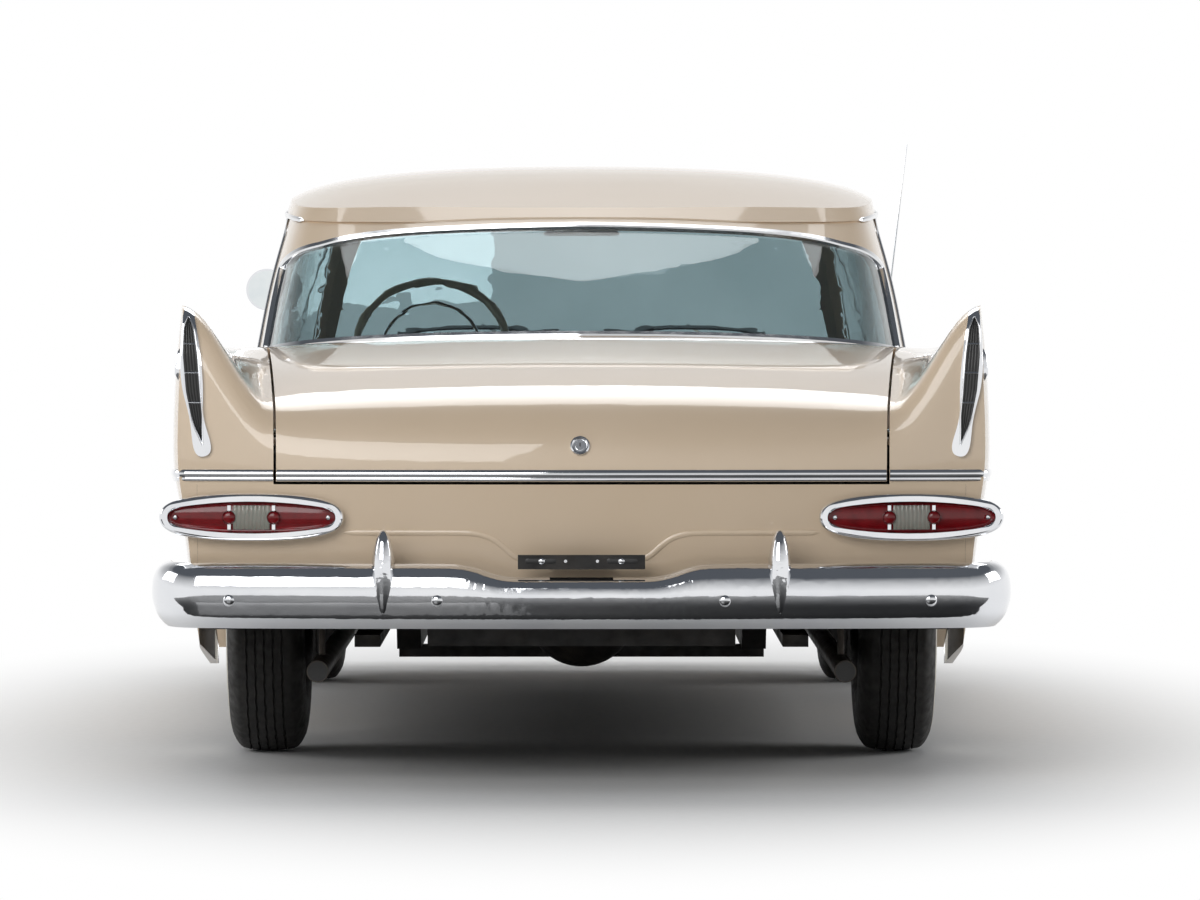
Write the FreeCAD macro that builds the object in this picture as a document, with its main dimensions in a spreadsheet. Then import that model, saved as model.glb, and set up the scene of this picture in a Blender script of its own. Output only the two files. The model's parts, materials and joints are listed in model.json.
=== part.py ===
"""A late-1950s two-door hardtop car with tail fins, as an assembly of its real panels and running gear.

Millimetres, with +X to the front bumper, +Y to the car's left and +Z up. The origin is on the
ground, under the middle of the car's length and width.

The body panels are cut from one outer body form, so that neighbours line up across their gaps.
That form is where two skins cross: the side skin (sill, door and fin outside) and the top skin
(nose, bonnet, shoulders, boot lid, fin inside and rear face). They meet in the crisp ridge that
runs from the headlamp brow to the fin's tip. Pillars and glass are cut from one greenhouse band.
"""

import FreeCAD, Part
import math
import os
import re
import Sketcher
from FreeCAD import Vector

doc = FreeCAD.newDocument("hardtop")

# Driving dimensions in millimetres, and in degrees where the note says so
SIZES = [
    ("overall_length", 5290, "bumper to bumper"),
    ("overall_width", 1980, "widest, at the doors"),
    ("overall_height", 1440, "ground to the roof's crown"),
    ("wheelbase", 2997, ""),
    ("front_overhang", 890, "front axle to the front bumper's face"),
    ("track_front", 1547, ""),
    ("track_rear", 1514, ""),
    ("panel_gap", 6, "shut line round doors, bonnet and boot lid"),
    ("joint_line", 0.4, "between fixed pieces"),
    ("overrun", 60, "how far a cutting tool runs past the piece"),
    # Body panels
    ("sill_height", 232, "ground to the sill's underside"),
    ("wing_wall", 14, "front wing's side, with its flanges"),
    ("bonnet_wall", 18, "bonnet and the wings' tops"),
    ("quarter_wall", 34, "rear quarter's side"),
    ("lid_wall", 24, "boot lid, deck and rear face"),
    ("sill_wall", 58, "sill panel under the door"),
    ("door_wall", 140, "whole door"),
    ("door_flange", 20, "outer flange of the door round its inner box"),
    ("door_rebate", 24, "the inner box stands this far inside the flange's edge"),
    ("door_length", 1214, ""),
    ("door_from_axle", 1105, "front axle to the door's front edge"),
    ("door_foot", 292, "ground to the door's lower edge"),
    ("deck_crown", 35, "boot deck's fall from its middle to the fins"),
    ("bonnet_length", 1440, "cowl to the lip, along the car"),
    ("bonnet_lip", 798, "ground to the lip over the grille"),
    ("lid_front", 1550, "middle of the car to the boot lid's front edge"),
    ("lid_foot", 690, "ground to the boot lid's lower edge"),
    ("tail_foot", 470, "ground to the rear face's lower edge"),
    ("sweep_rear", 345, "ground to the quarter's lower edge at the tail"),
    ("sweep_front", 335, "ground to the wing's lower edge at the nose"),
    ("mouth_foot", 562, "ground to the foot of the grille opening"),
    ("nose_foot", 470, "ground to the front valance's lower edge"),
    ("bonnet_half_width_rear", 690, ""),
    ("bonnet_half_width_front", 600, "at the lip"),
    ("mouth_half_width", 872, ""),
    ("cowl_half_width", 792, ""),
    ("lid_half_width_front", 745, ""),
    ("lid_half_width_rear", 682, "at the rear face"),
    ("tail_half_width", 862, ""),
    ("deck_strip_half_width", 762, "panel between the back window and the boot lid"),
    ("deck_strip_front", 1050, "middle of the car to the strip's forward ends"),
    ("jamb_wall", 14, "posts and bulkheads"),
    ("baffle_inset", 110, "plate behind the grille, back from the nose"),
    ("front_arch_radius", 378, ""),
    ("rear_arch_reach", 372, "half the rear arch's length at the sill"),
    ("rear_arch_top", 590, "ground to the top of the rear arch"),
    # Greenhouse
    ("roof_wall", 28, ""),
    ("drip_rail", 6, "roof's edge past the pillars' outer face"),
    ("pillar_wall", 34, ""),
    ("glass_wall", 6, ""),
    ("glass_inset", 9, "glass behind the outer face of the pillars"),
    ("glass_bow", 12, "outward bow of glass and pillars"),
    ("glass_run", 8, "moving glass to what it closes against"),
    # Wheels and tyres
    ("tyre_diameter", 676, ""),
    ("tyre_section", 190, ""),
    ("tread_width", 132, ""),
    ("bead_diameter", 366, "tyre's inner edge, on the rim"),
    ("bead_width", 124, ""),
    ("rim_reach", 75, "wheel's middle plane to the rim's edge"),
    ("rim_wall", 5, ""),
    ("rim_lip", 9, "rim flange's reach over the bead"),
    ("hubcap_diameter", 300, ""),
    ("hubcap_dish", 26, ""),
    ("hub_bore", 62, ""),
    ("bearing_gap", 0.5, "round a stub axle, on the radius"),
    ("kingpin_inset", 50, "wheel's middle to the kingpin, across the car"),
    ("kingpin_diameter", 36, ""),
    # Bumpers
    ("bumper_wall", 9, ""),
    ("bumper_reach", 270, "how far a bumper's ends run along the car"),
    ("bumper_half_width", 972, "car's middle to the bumper's side"),
    ("bumper_foot", 363, "ground to a bumper's lower edge"),
    ("bumper_height", 145, ""),
    ("bumper_dip", 30, "fall of the rear bumper's top edge behind the plate"),
    ("bumper_section", 44, "how deep a bumper's section is, along the car"),
    ("guard_offset", 442, "car's middle to a bumper guard"),
    ("guard_width", 53, ""),
    ("guard_height", 198, ""),
    ("guard_middle", 485, "ground to the middle of a guard"),
    ("guard_depth", 34, ""),
    ("plate_width", 284, ""),
    ("plate_rise", 18, "bracket's foot below its holes"),
    ("plate_wall", 3, ""),
    ("plate_height", 514, "ground to the plate's bolt holes"),
    ("plate_spacing", 178, "between the plate's bolt holes"),
    ("plate_hole", 7, "diameter"),
    # Lamps and grille
    ("headlamp_diameter", 146, ""),
    ("headlamp_height", 678, "ground to a headlamp's middle"),
    ("headlamp_inner", 632, "car's middle to the inner headlamp"),
    ("headlamp_outer", 788, "car's middle to the outer headlamp"),
    ("headlamp_depth", 70, ""),
    ("bezel_margin", 9, "bezel plate past the headlamps"),
    ("bezel_depth", 26, ""),
    ("grille_half_width", 536, ""),
    ("grille_height", 208, ""),
    ("grille_bar", 12, ""),
    ("grille_depth", 34, ""),
    ("tail_lamp_inner", 538, "car's middle to a rear lamp's inner end"),
    ("tail_lamp_outer", 940, "car's middle to a rear lamp's outer end"),
    ("tail_lamp_height", 610, "ground to a rear lamp's middle"),
    ("tail_lamp_rise", 96, "height of a rear lamp"),
    ("tail_lamp_rim", 12, ""),
    ("tail_lamp_proud", 34, "rim behind the rear face"),
    ("tail_lamp_seat", 16, "rear face at the lamps, ahead of the body's end"),
    ("tail_lamp_bow", 8300, "radius of the rear lamps' faces in plan"),
    ("tail_lamp_depth", 120, "rim's run forward along the body's corner"),
    ("lens_bed", 8, "chrome between a lens and the rear face"),
    ("lens_recess", 10, "lens inside the rim's rear edge"),
    ("ornament_proud", 9, ""),
    # Running gear
    ("rail_offset", 430, "car's middle to a chassis rail's middle"),
    ("rail_width", 60, ""),
    ("rail_height", 90, ""),
    ("rail_top", 315, "ground to the rails' top amidships"),
    ("rail_top_front", 455, "ground to the rails' top at the front axle"),
    ("rail_top_over_axle", 545, ""),
    ("rail_top_tail", 480, ""),
    ("floor_wall", 6, ""),
    ("floor_half_width", 776, ""),
    ("floor_half_width_rear", 629.6, "between the wheelhouses"),
    ("wheelhouse_half_width", 630, "car's middle to a wheelhouse's inner side"),
    ("wheelhouse_radius", 405, ""),
    ("wheelhouse_wall", 6, ""),
    ("cross_tube", 30, "height of the chassis cross members"),
    ("arm_width", 60, "suspension arms, along the car"),
    ("arm_height", 24, ""),
    ("kingpin_length", 264, ""),
    ("stub_diameter", 60, ""),
    ("drum_diameter", 250, ""),
    ("drum_width", 46, ""),
    ("axle_tube", 76, "diameter"),
    ("axle_casing", 268, "differential casing's diameter"),
    ("shaft_diameter", 72, "propeller shaft"),
    ("shaft_height", 268, "ground to the propeller shaft"),
    ("spring_offset", 500, "car's middle to a leaf spring"),
    ("spring_width", 60, ""),
    ("spring_length", 1320, ""),
    ("spring_height", 28, ""),
    ("engine_front", 1880, "middle of the car to the engine's front"),
    ("engine_length", 680, ""),
    ("engine_width", 520, ""),
    ("engine_top", 800, ""),
    ("gearbox_length", 340, ""),
    ("gearbox_width", 240, ""),
    ("gearbox_foot", 215, ""),
    ("gearbox_top", 305, ""),
    ("tank_length", 540, ""),
    ("tank_width", 700, ""),
    ("tank_foot", 310, ""),
    ("tank_rear", 2320, "middle of the car to the fuel tank's rear"),
    ("pipe_diameter", 50, "exhaust"),
    ("pipe_offset", 600, "car's middle to an exhaust pipe"),
    ("pipe_height", 252, ""),
    # Cabin
    ("seat_half_width", 690, ""),
    ("front_seat_front", 330, "middle of the car to the front cushion's front edge"),
    ("front_seat_depth", 520, ""),
    ("rear_seat_front", -600, ""),
    ("rear_seat_depth", 480, ""),
    ("cushion_top", 500, "ground to the front edge of a cushion's top"),
    ("squab_top", 925, "ground to the top of a seat back"),
    ("squab_wall", 110, ""),
    ("shelf_height", 958, "ground to the shelf behind the rear seat"),
    ("bulkhead_place", 1262, "middle of the car to the bulkhead behind the seat"),
    ("wheel_radius", 203, "steering wheel, to the middle of its rim"),
    ("wheel_rim", 22, "steering wheel rim's thickness"),
    ("wheel_place", 330, "middle of the car to the steering wheel"),
    ("wheel_offset", 400, "car's middle to the steering column"),
    ("wheel_height", 968, ""),
    ("column_rake", 32, "degrees from level"),
    ("column_diameter", 46, ""),
    ("column_length", 1000, "steering wheel to past the firewall"),
    ("mirror_diameter", 112, ""),
    ("mirror_place", 560, ""),
    ("mirror_offset", 848, ""),
    ("mirror_height", 1122, ""),
    ("mirror_depth", 40, ""),
    ("antenna_diameter", 5, ""),
    ("antenna_place", 1120, ""),
    ("antenna_offset", 828, ""),
    ("antenna_rise", 600, ""),
    ("antenna_lean", 74, "how far the tip leans outboard"),
]

sheet = doc.addObject("Spreadsheet::Sheet", "Sizes")
for row, (alias, value, note) in enumerate(SIZES, start=1):
    sheet.set(f"A{row}", alias)
    sheet.set(f"B{row}", str(value))
    sheet.set(f"C{row}", note)
    sheet.setAlias(f"B{row}", alias)
doc.recompute()


def size(alias):
    """The value of one driving dimension."""
    return float(sheet.get(alias))


half_length = size("overall_length") / 2
half_width = size("overall_width") / 2
height = size("overall_height")
front_axle = half_length - size("front_overhang")
rear_axle = front_axle - size("wheelbase")
axle_height = size("tyre_diameter") / 2
door_front = front_axle - size("door_from_axle")
door_rear = door_front - size("door_length")
gap = size("panel_gap")
seam = size("joint_line")
overrun = size("overrun")


def feature(label, shape):
    """A sub-part, or a form that others are cut from, whose shape is worked out here."""
    made = doc.addObject("Part::Feature", label)
    made.Label = label
    made.Shape = shape
    return made


# Guides and skins


class Guide:
    """A fair curve through places chosen by hand, each a pair of shares: where, and how much."""

    def __init__(self, *place_shares):
        wheres = [where for where, much in place_shares]
        self.low, self.high = wheres[0], wheres[-1]
        points = [Vector(where, much, 0) for where, much in place_shares]
        self.curve = Part.BSplineCurve()
        self.curve.interpolate(Points=points, Parameters=wheres)

    def __call__(self, where):
        return self.curve.value(min(max(where, self.low), self.high)).y


def skin(net):
    """One fair surface drawn by a net of points, which it follows without any overshoot."""
    surface = Part.BSplineSurface()
    spans = [len(net) - 3, len(net[0]) - 3]
    knots = [[float(knot) for knot in range(span + 1)] for span in spans]
    mults = [[4] + [1] * (span - 1) + [4] for span in spans]
    surface.buildFromPolesMultsKnots(net, *mults, *knots, False, False, 3, 3)
    return surface


def slab(outer, inner):
    """The solid between two skins of the same layout, closed by ruled edges."""
    near, far = skin(outer), skin(inner)
    faces = [near.toShape(), far.toShape()]
    for line in ("uIso", "vIso"):
        for end in (0, 1):
            edges = []
            for surface in (near, far):
                bounds = surface.bounds()
                place = bounds[end] if line == "uIso" else bounds[2 + end]
                edges.append(getattr(surface, line)(place).toShape())
            faces.append(Part.makeRuledSurface(*edges))
    shell = Part.makeShell(faces)
    shell.sewShape()
    solid = Part.makeSolid(shell)
    if solid.Volume < 0:
        solid.reverse()
    return solid


def plan_view(points, low, high):
    """A cutter with an outline in millimetres along and across the car, from low to high."""
    corners = [Vector(x, y, low) for x, y in points]
    return Part.Face(Part.makePolygon(corners + corners[:1])).extrude(Vector(0, 0, high - low))


def block(x_low, x_high, y_low, y_high, z_low, z_high):
    """A box between two corners, in millimetres."""
    corner = Vector(x_low, y_low, z_low)
    return Part.makeBox(x_high - x_low, y_high - y_low, z_high - z_low, corner)


def mirrored(shape):
    """The same shape on the car's other side."""
    return shape.mirror(Vector(0, 0, 0), Vector(0, 1, 0))


# Along the car: shares of the half length. Across: shares of the half width. Up: of the height.
widest_share = Guide(
    (-0.983, 0.895), (-0.966, 0.909), (-0.945, 0.923), (-0.9225, 0.931), (-0.756, 0.955),
    (-0.47, 0.984), (0, 1.001), (0.378, 1.004), (0.6635, 0.987), (0.87, 0.947), (0.96, 0.909),
)
trim_share = Guide((-0.983, 0.4965), (-0.47, 0.507), (0, 0.517), (0.96, 0.535))
ridge_share = Guide(
    (-0.983, 0.772), (-0.9225, 0.758), (-0.832, 0.732), (-0.6805, 0.698), (-0.529, 0.674),
    (-0.378, 0.658), (-0.212, 0.649), (0, 0.647), (0.246, 0.646), (0.378, 0.642),
    (0.6635, 0.628), (0.87, 0.6055), (0.96, 0.585),
)
ridge_inset_share = Guide(
    (-0.983, 0.022), (-0.9225, 0.022), (-0.529, 0.05), (-0.212, 0.07), (0, 0.073),
    (0.6635, 0.06), (0.96, 0.045),
)
middle_share = Guide(
    (-0.9225, 0.6146), (-0.888, 0.6285), (-0.794, 0.66), (-0.6805, 0.684), (-0.548, 0.7028),
    (-0.378, 0.7), (0, 0.692), (0.378, 0.684), (0.567, 0.67), (0.756, 0.646), (0.87, 0.625),
    (0.915, 0.6115),
)
fin_foot_share = Guide((-0.983, 0.785), (-0.9, 0.79), (-0.53, 0.865), (0.96, 0.88))

# How the side tucks in under the trim line and leans in above it: height, then inset
tuck_shares = ((0, 0.079), (0.2, 0.056), (0.55, 0.038), (0.85, 0.016), (1, 0))
lean_shares = ((0.35, 0.12), (0.7, 0.45), (1, 1))
above_ridge_share = 0.1
side_station_shares = (
    -0.983, -0.966, -0.945, -0.9225, -0.86, -0.756, -0.62, -0.47, -0.3, -0.15, 0, 0.2, 0.378,
    0.53, 0.6635, 0.77, 0.87, 0.93, 0.975,
)


def side_column(x, wall, drop):
    """The side skin's points at one station, from the sill up past the ridge."""
    foot, trim, ridge = size("sill_height") / height, trim_share(x), ridge_share(x)
    lean = ridge_inset_share(x)
    places = [(foot + share * (trim - foot), inset) for share, inset in tuck_shares]
    places += [(trim + share * (ridge - trim), inset * lean) for share, inset in lean_shares]
    (low, less), (high, more) = places[-2:]
    slope = (more - less) / (high - low)
    places.append((ridge + above_ridge_share, lean + slope * above_ridge_share))
    widest = widest_share(x)
    points = [
        Vector(x * half_length, (widest - inset) * half_width - wall, up * height)
        for up, inset in places
    ]
    points[0].z -= drop
    return points


def between_sides(wall=0, drop=0):
    """All that lies between the two side skins, each moved inwards by the wall."""
    left = [side_column(x, wall, drop) for x in side_station_shares]
    right = [[Vector(p.x, -p.y, p.z) for p in column] for column in left]
    return slab(left, right)


# The top skin's rows: nose and tail are rolled over as superellipses
across_shares = (0, 0.2, 0.4, 0.55, 0.66, 0.74, 0.8, 0.86, 0.92, 0.97, 1.01, 1.06, 1.14)
top_station_shares = (
    -0.888, -0.84, -0.794, -0.74, -0.6805, -0.62, -0.548, -0.47, -0.378, -0.212, 0, 0.2, 0.378,
    0.48, 0.567, 0.66, 0.756, 0.82, 0.87,
)
roll_turn_shares = (0.02, 0.3, 0.5, 0.68, 0.84, 1)
tail_roll_share, tail_end_share, tail_bow_share = 0.915, 0.972, 0.017
nose_roll_share, nose_end_share, nose_bow_share = 0.905, 0.951, 0.022
tail_below_shares = ((0.46, 0.003), (0.4, 0.006), (0.32, 0.014), (0.24, 0.028), (0.14, 0.06))
nose_below_shares = ((0.5, 0.002), (0.4, 0.006), (0.3, 0.016), (0.22, 0.034), (0.14, 0.06))


def ridge_place(x):
    """How far out the ridge is, as a share of the half width."""
    return widest_share(x) - ridge_inset_share(x)


def top_height(x, across):
    """Height share of the top skin: crowned across, with the fin rising at its edge."""
    middle, ridge = middle_share(x), ridge_share(x)
    crown = max(middle - ridge, size("deck_crown") / height)
    rise = ridge - middle + crown
    foot = fin_foot_share(x)
    climb = min(max((across - foot) / (1 - foot), 0), 1) ** 0.9
    return middle - crown * min(across, 1) ** 2 + rise * climb * climb * (3 - 2 * climb)


def top_row(x):
    """The top skin's points across the car at one station."""
    out = ridge_place(x)
    return [(x, across * out, top_height(x, across)) for across in across_shares]


def rolled_row(turn, roll, end, bow, foot, sign):
    """One row of the nose's or tail's roll, from the top (turn 0) down to the foot (turn 1)."""
    row = []
    for across in across_shares:
        out = min(across, 1)
        power = 2 + 3 * out ** 6
        angle = turn * math.pi / 2
        reach = end - bow * out ** 2 - roll
        x = sign * (roll + reach * math.sin(angle) ** (2 / power))
        top = top_height(x, across)
        up = foot + (top - foot) * max(math.cos(angle), 0) ** (2 / power)
        row.append((x, across * ridge_place(x), up))
    return row


def lower_row(up, back, end, bow, sign):
    """One row of the face below the roll."""
    row = []
    for across in across_shares:
        x = sign * (end - bow * min(across, 1) ** 2 - back)
        row.append((x, across * ridge_place(x), up))
    return row


def top_block():
    """All that lies under the top skin, from the nose's foot over the car to the tail's."""
    tail = (tail_roll_share, tail_end_share, tail_bow_share, trim_share(-1), -1)
    lip = size("bonnet_lip") / height
    nose = (nose_roll_share, nose_end_share, nose_bow_share, lip, 1)
    rows = [lower_row(up, back, tail[1], tail[2], -1) for up, back in tail_below_shares[::-1]]
    rows += [rolled_row(turn, *tail) for turn in roll_turn_shares[::-1]]
    rows += [top_row(x) for x in top_station_shares]
    rows += [rolled_row(turn, *nose) for turn in roll_turn_shares]
    rows += [lower_row(up, back, nose[1], nose[2], 1) for up, back in nose_below_shares]
    outer = []
    for row in rows:
        half = [Vector(x * half_length, y * half_width, z * height) for x, y, z in row]
        other = [Vector(p.x, -p.y, p.z) for p in half[:0:-1]]
        outer.append(other + half)
    first, last = outer[0], outer[-1]
    steps = len(outer) - 1
    floor = min(point.z for point in first + last) - overrun
    inner = []
    for step in range(len(outer)):
        share = step / steps
        inner.append([
            Vector(a.x + (b.x - a.x) * share, a.y + (b.y - a.y) * share, floor)
            for a, b in zip(first, last)
        ])
    return slab(outer, inner)


body = between_sides().common(top_block())


def inner_form(side, roof, end=0):
    """The body form less its walls: the side's, the top's and the nose's and tail's."""
    top = top_block()
    form = between_sides(side, overrun).common(top.translated(Vector(0, 0, -roof)))
    if end:
        form = form.common(top.translated(Vector(end, 0, 0)))
        form = form.common(top.translated(Vector(-end, 0, 0)))
    return form


front_form = inner_form(size("wing_wall"), size("bonnet_wall"), size("bonnet_wall"))
rear_form = inner_form(size("quarter_wall"), size("lid_wall"), size("lid_wall"))

far = half_length + overrun
wide = half_width + overrun
nodes = {}


def node(label, shape):
    """A finished sub-part: it is written to a file of its own."""
    nodes[label] = feature(label, shape)
    return nodes[label]


def pair(label, shape):
    """A finished sub-part for the left, and its mirror image for the right."""
    node(label + "_left", shape)
    node(label + "_right", mirrored(shape))


# Greenhouse

# Round the glass from the middle of the windscreen to the middle of the back window
base_ring_shares = (
    (0.3705, 0, 0.672), (0.36, 0.26, 0.671), (0.338, 0.51, 0.667), (0.29, 0.71, 0.655),
    (0.235, 0.805, 0.648), (0.113, 0.845, 0.645), (-0.0756, 0.852, 0.645),
    (-0.265, 0.838, 0.648), (-0.397, 0.802, 0.66), (-0.496, 0.735, 0.68),
    (-0.546, 0.42, 0.697), (-0.5558, 0, 0.701),
)
head_ring_shares = (
    (0.1815, 0, 0.955), (0.1795, 0.24, 0.953), (0.171, 0.45, 0.948), (0.15, 0.61, 0.94),
    (0.107, 0.685, 0.934), (0.01, 0.733, 0.932), (-0.095, 0.748, 0.932),
    (-0.212, 0.741, 0.93), (-0.3, 0.715, 0.926), (-0.36, 0.655, 0.92), (-0.384, 0.36, 0.914),
    (-0.388, 0, 0.912),
)
ring_rise_shares = (-0.14, 0, 0.33, 0.67, 1, 1.12)


def ring_net(inset, indexes):
    """Net of the greenhouse's outer face moved inwards by the inset, over the columns asked for."""
    rows = []
    for rise in ring_rise_shares:
        line = []
        for base, head in zip(base_ring_shares, head_ring_shares):
            mix = [low + (high - low) * rise for low, high in zip(base, head)]
            line.append(Vector(mix[0] * half_length, mix[1] * half_width, mix[2] * height))
        moved = []
        for index, point in enumerate(line):
            before = line[index - 1] if index else Vector(line[1].x, -line[1].y, line[1].z)
            last = index == len(line) - 1
            after = Vector(line[-2].x, -line[-2].y, line[-2].z) if last else line[index + 1]
            out = Vector(before.y - after.y, after.x - before.x, 0) * -1
            out.normalize()
            bow = size("glass_bow") * 4 * max(rise * (1 - rise), 0)
            moved.append(point + out * (bow - inset))
        row = []
        for index in indexes:
            point = moved[abs(index)]
            row.append(Vector(point.x, -point.y if index < 0 else point.y, point.z))
        rows.append(row)
    return rows


def band(inset, wall, indexes):
    """The greenhouse wall between the inset and the wall's inner face."""
    return slab(ring_net(inset, indexes), ring_net(inset + wall, indexes))


# Columns of the nets: one side from the front middle to the rear middle, and round the front
rear_middle = len(base_ring_shares) - 1
left_columns = tuple(range(rear_middle + 1))
door_column = 6
front_columns = tuple(range(-door_column, door_column + 1))

roof_edge_x_front = Guide((0, 0.193), (0.36, 0.191), (0.66, 0.183), (0.9, 0.162), (1, 0.138))
roof_edge_x_rear = Guide((0, -0.4), (0.38, -0.397), (0.774, -0.382), (1, -0.345))
roof_half_width = Guide((0, 0.74), (0.3, 0.768), (0.6, 0.768), (1, 0.72))
roof_edge_height = Guide((0, 0.9125), (0.4, 0.917), (0.7, 0.92), (1, 0.923))
roof_middle_height = Guide(
    (0, 0.913), (0.1, 0.938), (0.25, 0.972), (0.42, 0.995), (0.58, 1.003), (0.75, 0.996),
    (0.9, 0.976), (1, 0.957),
)
roof_along_shares = (0, 0.06, 0.18, 0.32, 0.46, 0.6, 0.74, 0.87, 0.95, 1)
roof_across_shares = (0, 0.25, 0.5, 0.7, 0.83, 0.92, 0.97, 0.995, 1)
roof_roundness = 2.45


def roof_net(drop):
    """Net of the roof's skin, moved down by the drop."""
    net = []
    for along in roof_along_shares:
        half = []
        for across in roof_across_shares:
            rear, front = roof_edge_x_rear(across), roof_edge_x_front(across)
            edge, middle = roof_edge_height(along), roof_middle_height(along)
            swell = (1 - across ** roof_roundness) ** (1 / roof_roundness)
            x = rear + (front - rear) * along
            z = edge + (middle - edge) * swell
            half.append(Vector(x * half_length, across * roof_half_width(along) * half_width,
                               z * height - drop))
        net.append([Vector(p.x, -p.y, p.z) for p in half[:0:-1]] + half)
    return net


# Side-view outlines of the three openings, each running on below the belt
windscreen_shares = (
    (0.315, 0.56), (0.1535, 0.917), (0.1947, 0.935), (0.6, 0.935), (0.6, 0.56),
)
side_window_shares = (
    (0.3045, 0.56), (0.138, 0.906), (-0.23, 0.906), (-0.268, 0.872), (-0.386, 0.56),
)
back_window_shares = (
    (-0.44, 0.56), (-0.32, 0.818), (-0.385, 0.853), (-0.405, 0.88), (-0.413, 0.898),
    (-0.75, 0.898), (-0.75, 0.56),
)


def opening(shares, clear=0):
    """The cutter of a window opening, drawn in by the clearance all round."""
    corners = [Vector(x * half_length, 0, z * height) for x, z in shares]
    wire = Part.makePolygon(corners + corners[:1])
    if clear:
        wire = wire.makeOffset2D(-clear)
    return Part.Face(wire).translated(Vector(0, -wide, 0)).extrude(Vector(0, 2 * wide, 0))


half_band = band(0, size("pillar_wall"), left_columns)
trimmer = band(-size("drip_rail") - overrun, overrun, left_columns)
roof_slab = slab(roof_net(0), roof_net(size("roof_wall"))).cut([trimmer, mirrored(trimmer)])
roof_slab = max(roof_slab.Solids, key=lambda solid: solid.Volume)
over_roof = slab(roof_net(size("roof_wall") / 2), roof_net(-2 * overrun))
frame = half_band.cut(body).cut(over_roof)
for shares in (windscreen_shares, side_window_shares, back_window_shares):
    frame = frame.cut(opening(shares))
roof = roof_slab.fuse([frame, mirrored(frame)])
node("roof_panel", roof)
roof_solid = nodes["roof_panel"].Shape


def glazing(columns, shares, clear):
    """A pane: the glass band inside one opening, standing on the body and short of the roof."""
    pane = band(size("glass_inset"), size("glass_wall"), columns)
    return pane.common(opening(shares, clear)).cut(body).cut(roof_solid)


side_glass = glazing(left_columns, side_window_shares, size("glass_run"))
rear_side_glass = glazing(left_columns, side_window_shares, seam)
door_glass = side_glass.common(block(door_rear, far, 0, wide, 0, height))
quarter_glass = rear_side_glass.common(block(-far, door_rear - size("glass_run"), 0, wide, 0,
                                             height))
pair("door_glass", door_glass)
node("quarter_windows", Part.makeCompound([quarter_glass, mirrored(quarter_glass)]))
node("windshield", glazing(front_columns, windscreen_shares, seam))
rear_columns = tuple(range(door_column, rear_middle + 1))
half_rear = glazing(rear_columns, back_window_shares, seam)
node("rear_window", half_rear.fuse(mirrored(half_rear)).removeSplitter())


# Body panels

ring = ring_net(size("pillar_wall"), left_columns)[1]
hole_outline = [(p.x, p.y) for p in ring] + [(p.x, -p.y) for p in ring[-2:0:-1]]
cabin_hole = plan_view(hole_outline, size("sill_height"), height)

# Front: bonnet, cowl, wings and nose
front_shell = body.common(block(door_front + gap, far, -wide, wide, 0, height)).cut(front_form)
nose_x = nose_end_share * half_length
cowl_x = nose_x - size("bonnet_length")
lip = size("bonnet_lip")


def tapered(x_wide, y_wide, x_narrow, y_narrow, clear):
    """Plan outline of a lid whose sides run straight on past its narrow end."""
    sign = 1 if x_narrow > x_wide else -1
    slope = (y_narrow - y_wide) / (x_narrow - x_wide)
    end = sign * far
    y_end = y_wide + slope * (end - x_wide) + clear
    start = x_wide - sign * clear
    return [(start, -y_wide - clear), (start, y_wide + clear), (end, y_end), (end, -y_end)]


def sweep(start, end, up):
    """The cutter under a panel's lower edge, which rises from a wheel arch to a bumper."""
    low = size("sill_height") - overrun
    corners = [Vector(x, -wide, z) for x, z in (
        (start, low), (start, size("sill_height")), (end, up), (end, low))]
    return Part.Face(Part.makePolygon(corners + corners[:1])).extrude(Vector(0, 2 * wide, 0))


def bonnet_cutter(clear):
    """The space over the bonnet's outline, wider by the clearance."""
    outline = tapered(cowl_x, size("bonnet_half_width_rear"),
                      nose_x, size("bonnet_half_width_front"), clear)
    return plan_view(outline, lip - clear, height)


node("hood", front_shell.common(bonnet_cutter(0)))

mouth = block(nose_x - size("bonnet_length") / 2, far, -size("mouth_half_width"),
              size("mouth_half_width"), 0, lip - gap)
cowl_box = block(door_front, cowl_x - gap, -size("cowl_half_width"), size("cowl_half_width"),
                 size("door_foot"), height)
wing = front_shell.common(block(0, far, 0, wide, 0, height))
wing = wing.cut(bonnet_cutter(gap)).cut(mouth).cut(cowl_box).cut(cabin_hole)
wing = wing.cut(Part.makeCylinder(size("front_arch_radius"), 2 * wide,
                                  Vector(front_axle, 0, axle_height), Vector(0, 1, 0)))
wing = wing.cut(sweep(front_axle + size("front_arch_radius"), half_length, size("sweep_front")))
node("front_fenders", Part.makeCompound([wing, mirrored(wing)]))

inner_side = size("cowl_half_width") - seam
cowl = front_shell.common(block(door_front, cowl_x - gap, -inner_side, inner_side,
                                size("door_foot"), height)).cut(cabin_hole)
jamb = size("jamb_wall")
firewall = block(cowl_x - gap - jamb, cowl_x - gap, -inner_side, inner_side,
                 size("rail_top_front"), height)
kick = block(door_front + gap, cowl_x - gap, inner_side - jamb, inner_side,
             size("rail_top") + size("floor_wall") + seam, height)
kicks = [panel.common(front_form).cut(cabin_hole) for panel in (kick, mirrored(kick))]
cowl = cowl.fuse([firewall.common(front_form)] + kicks)
node("cowl_panel", cowl)

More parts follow.
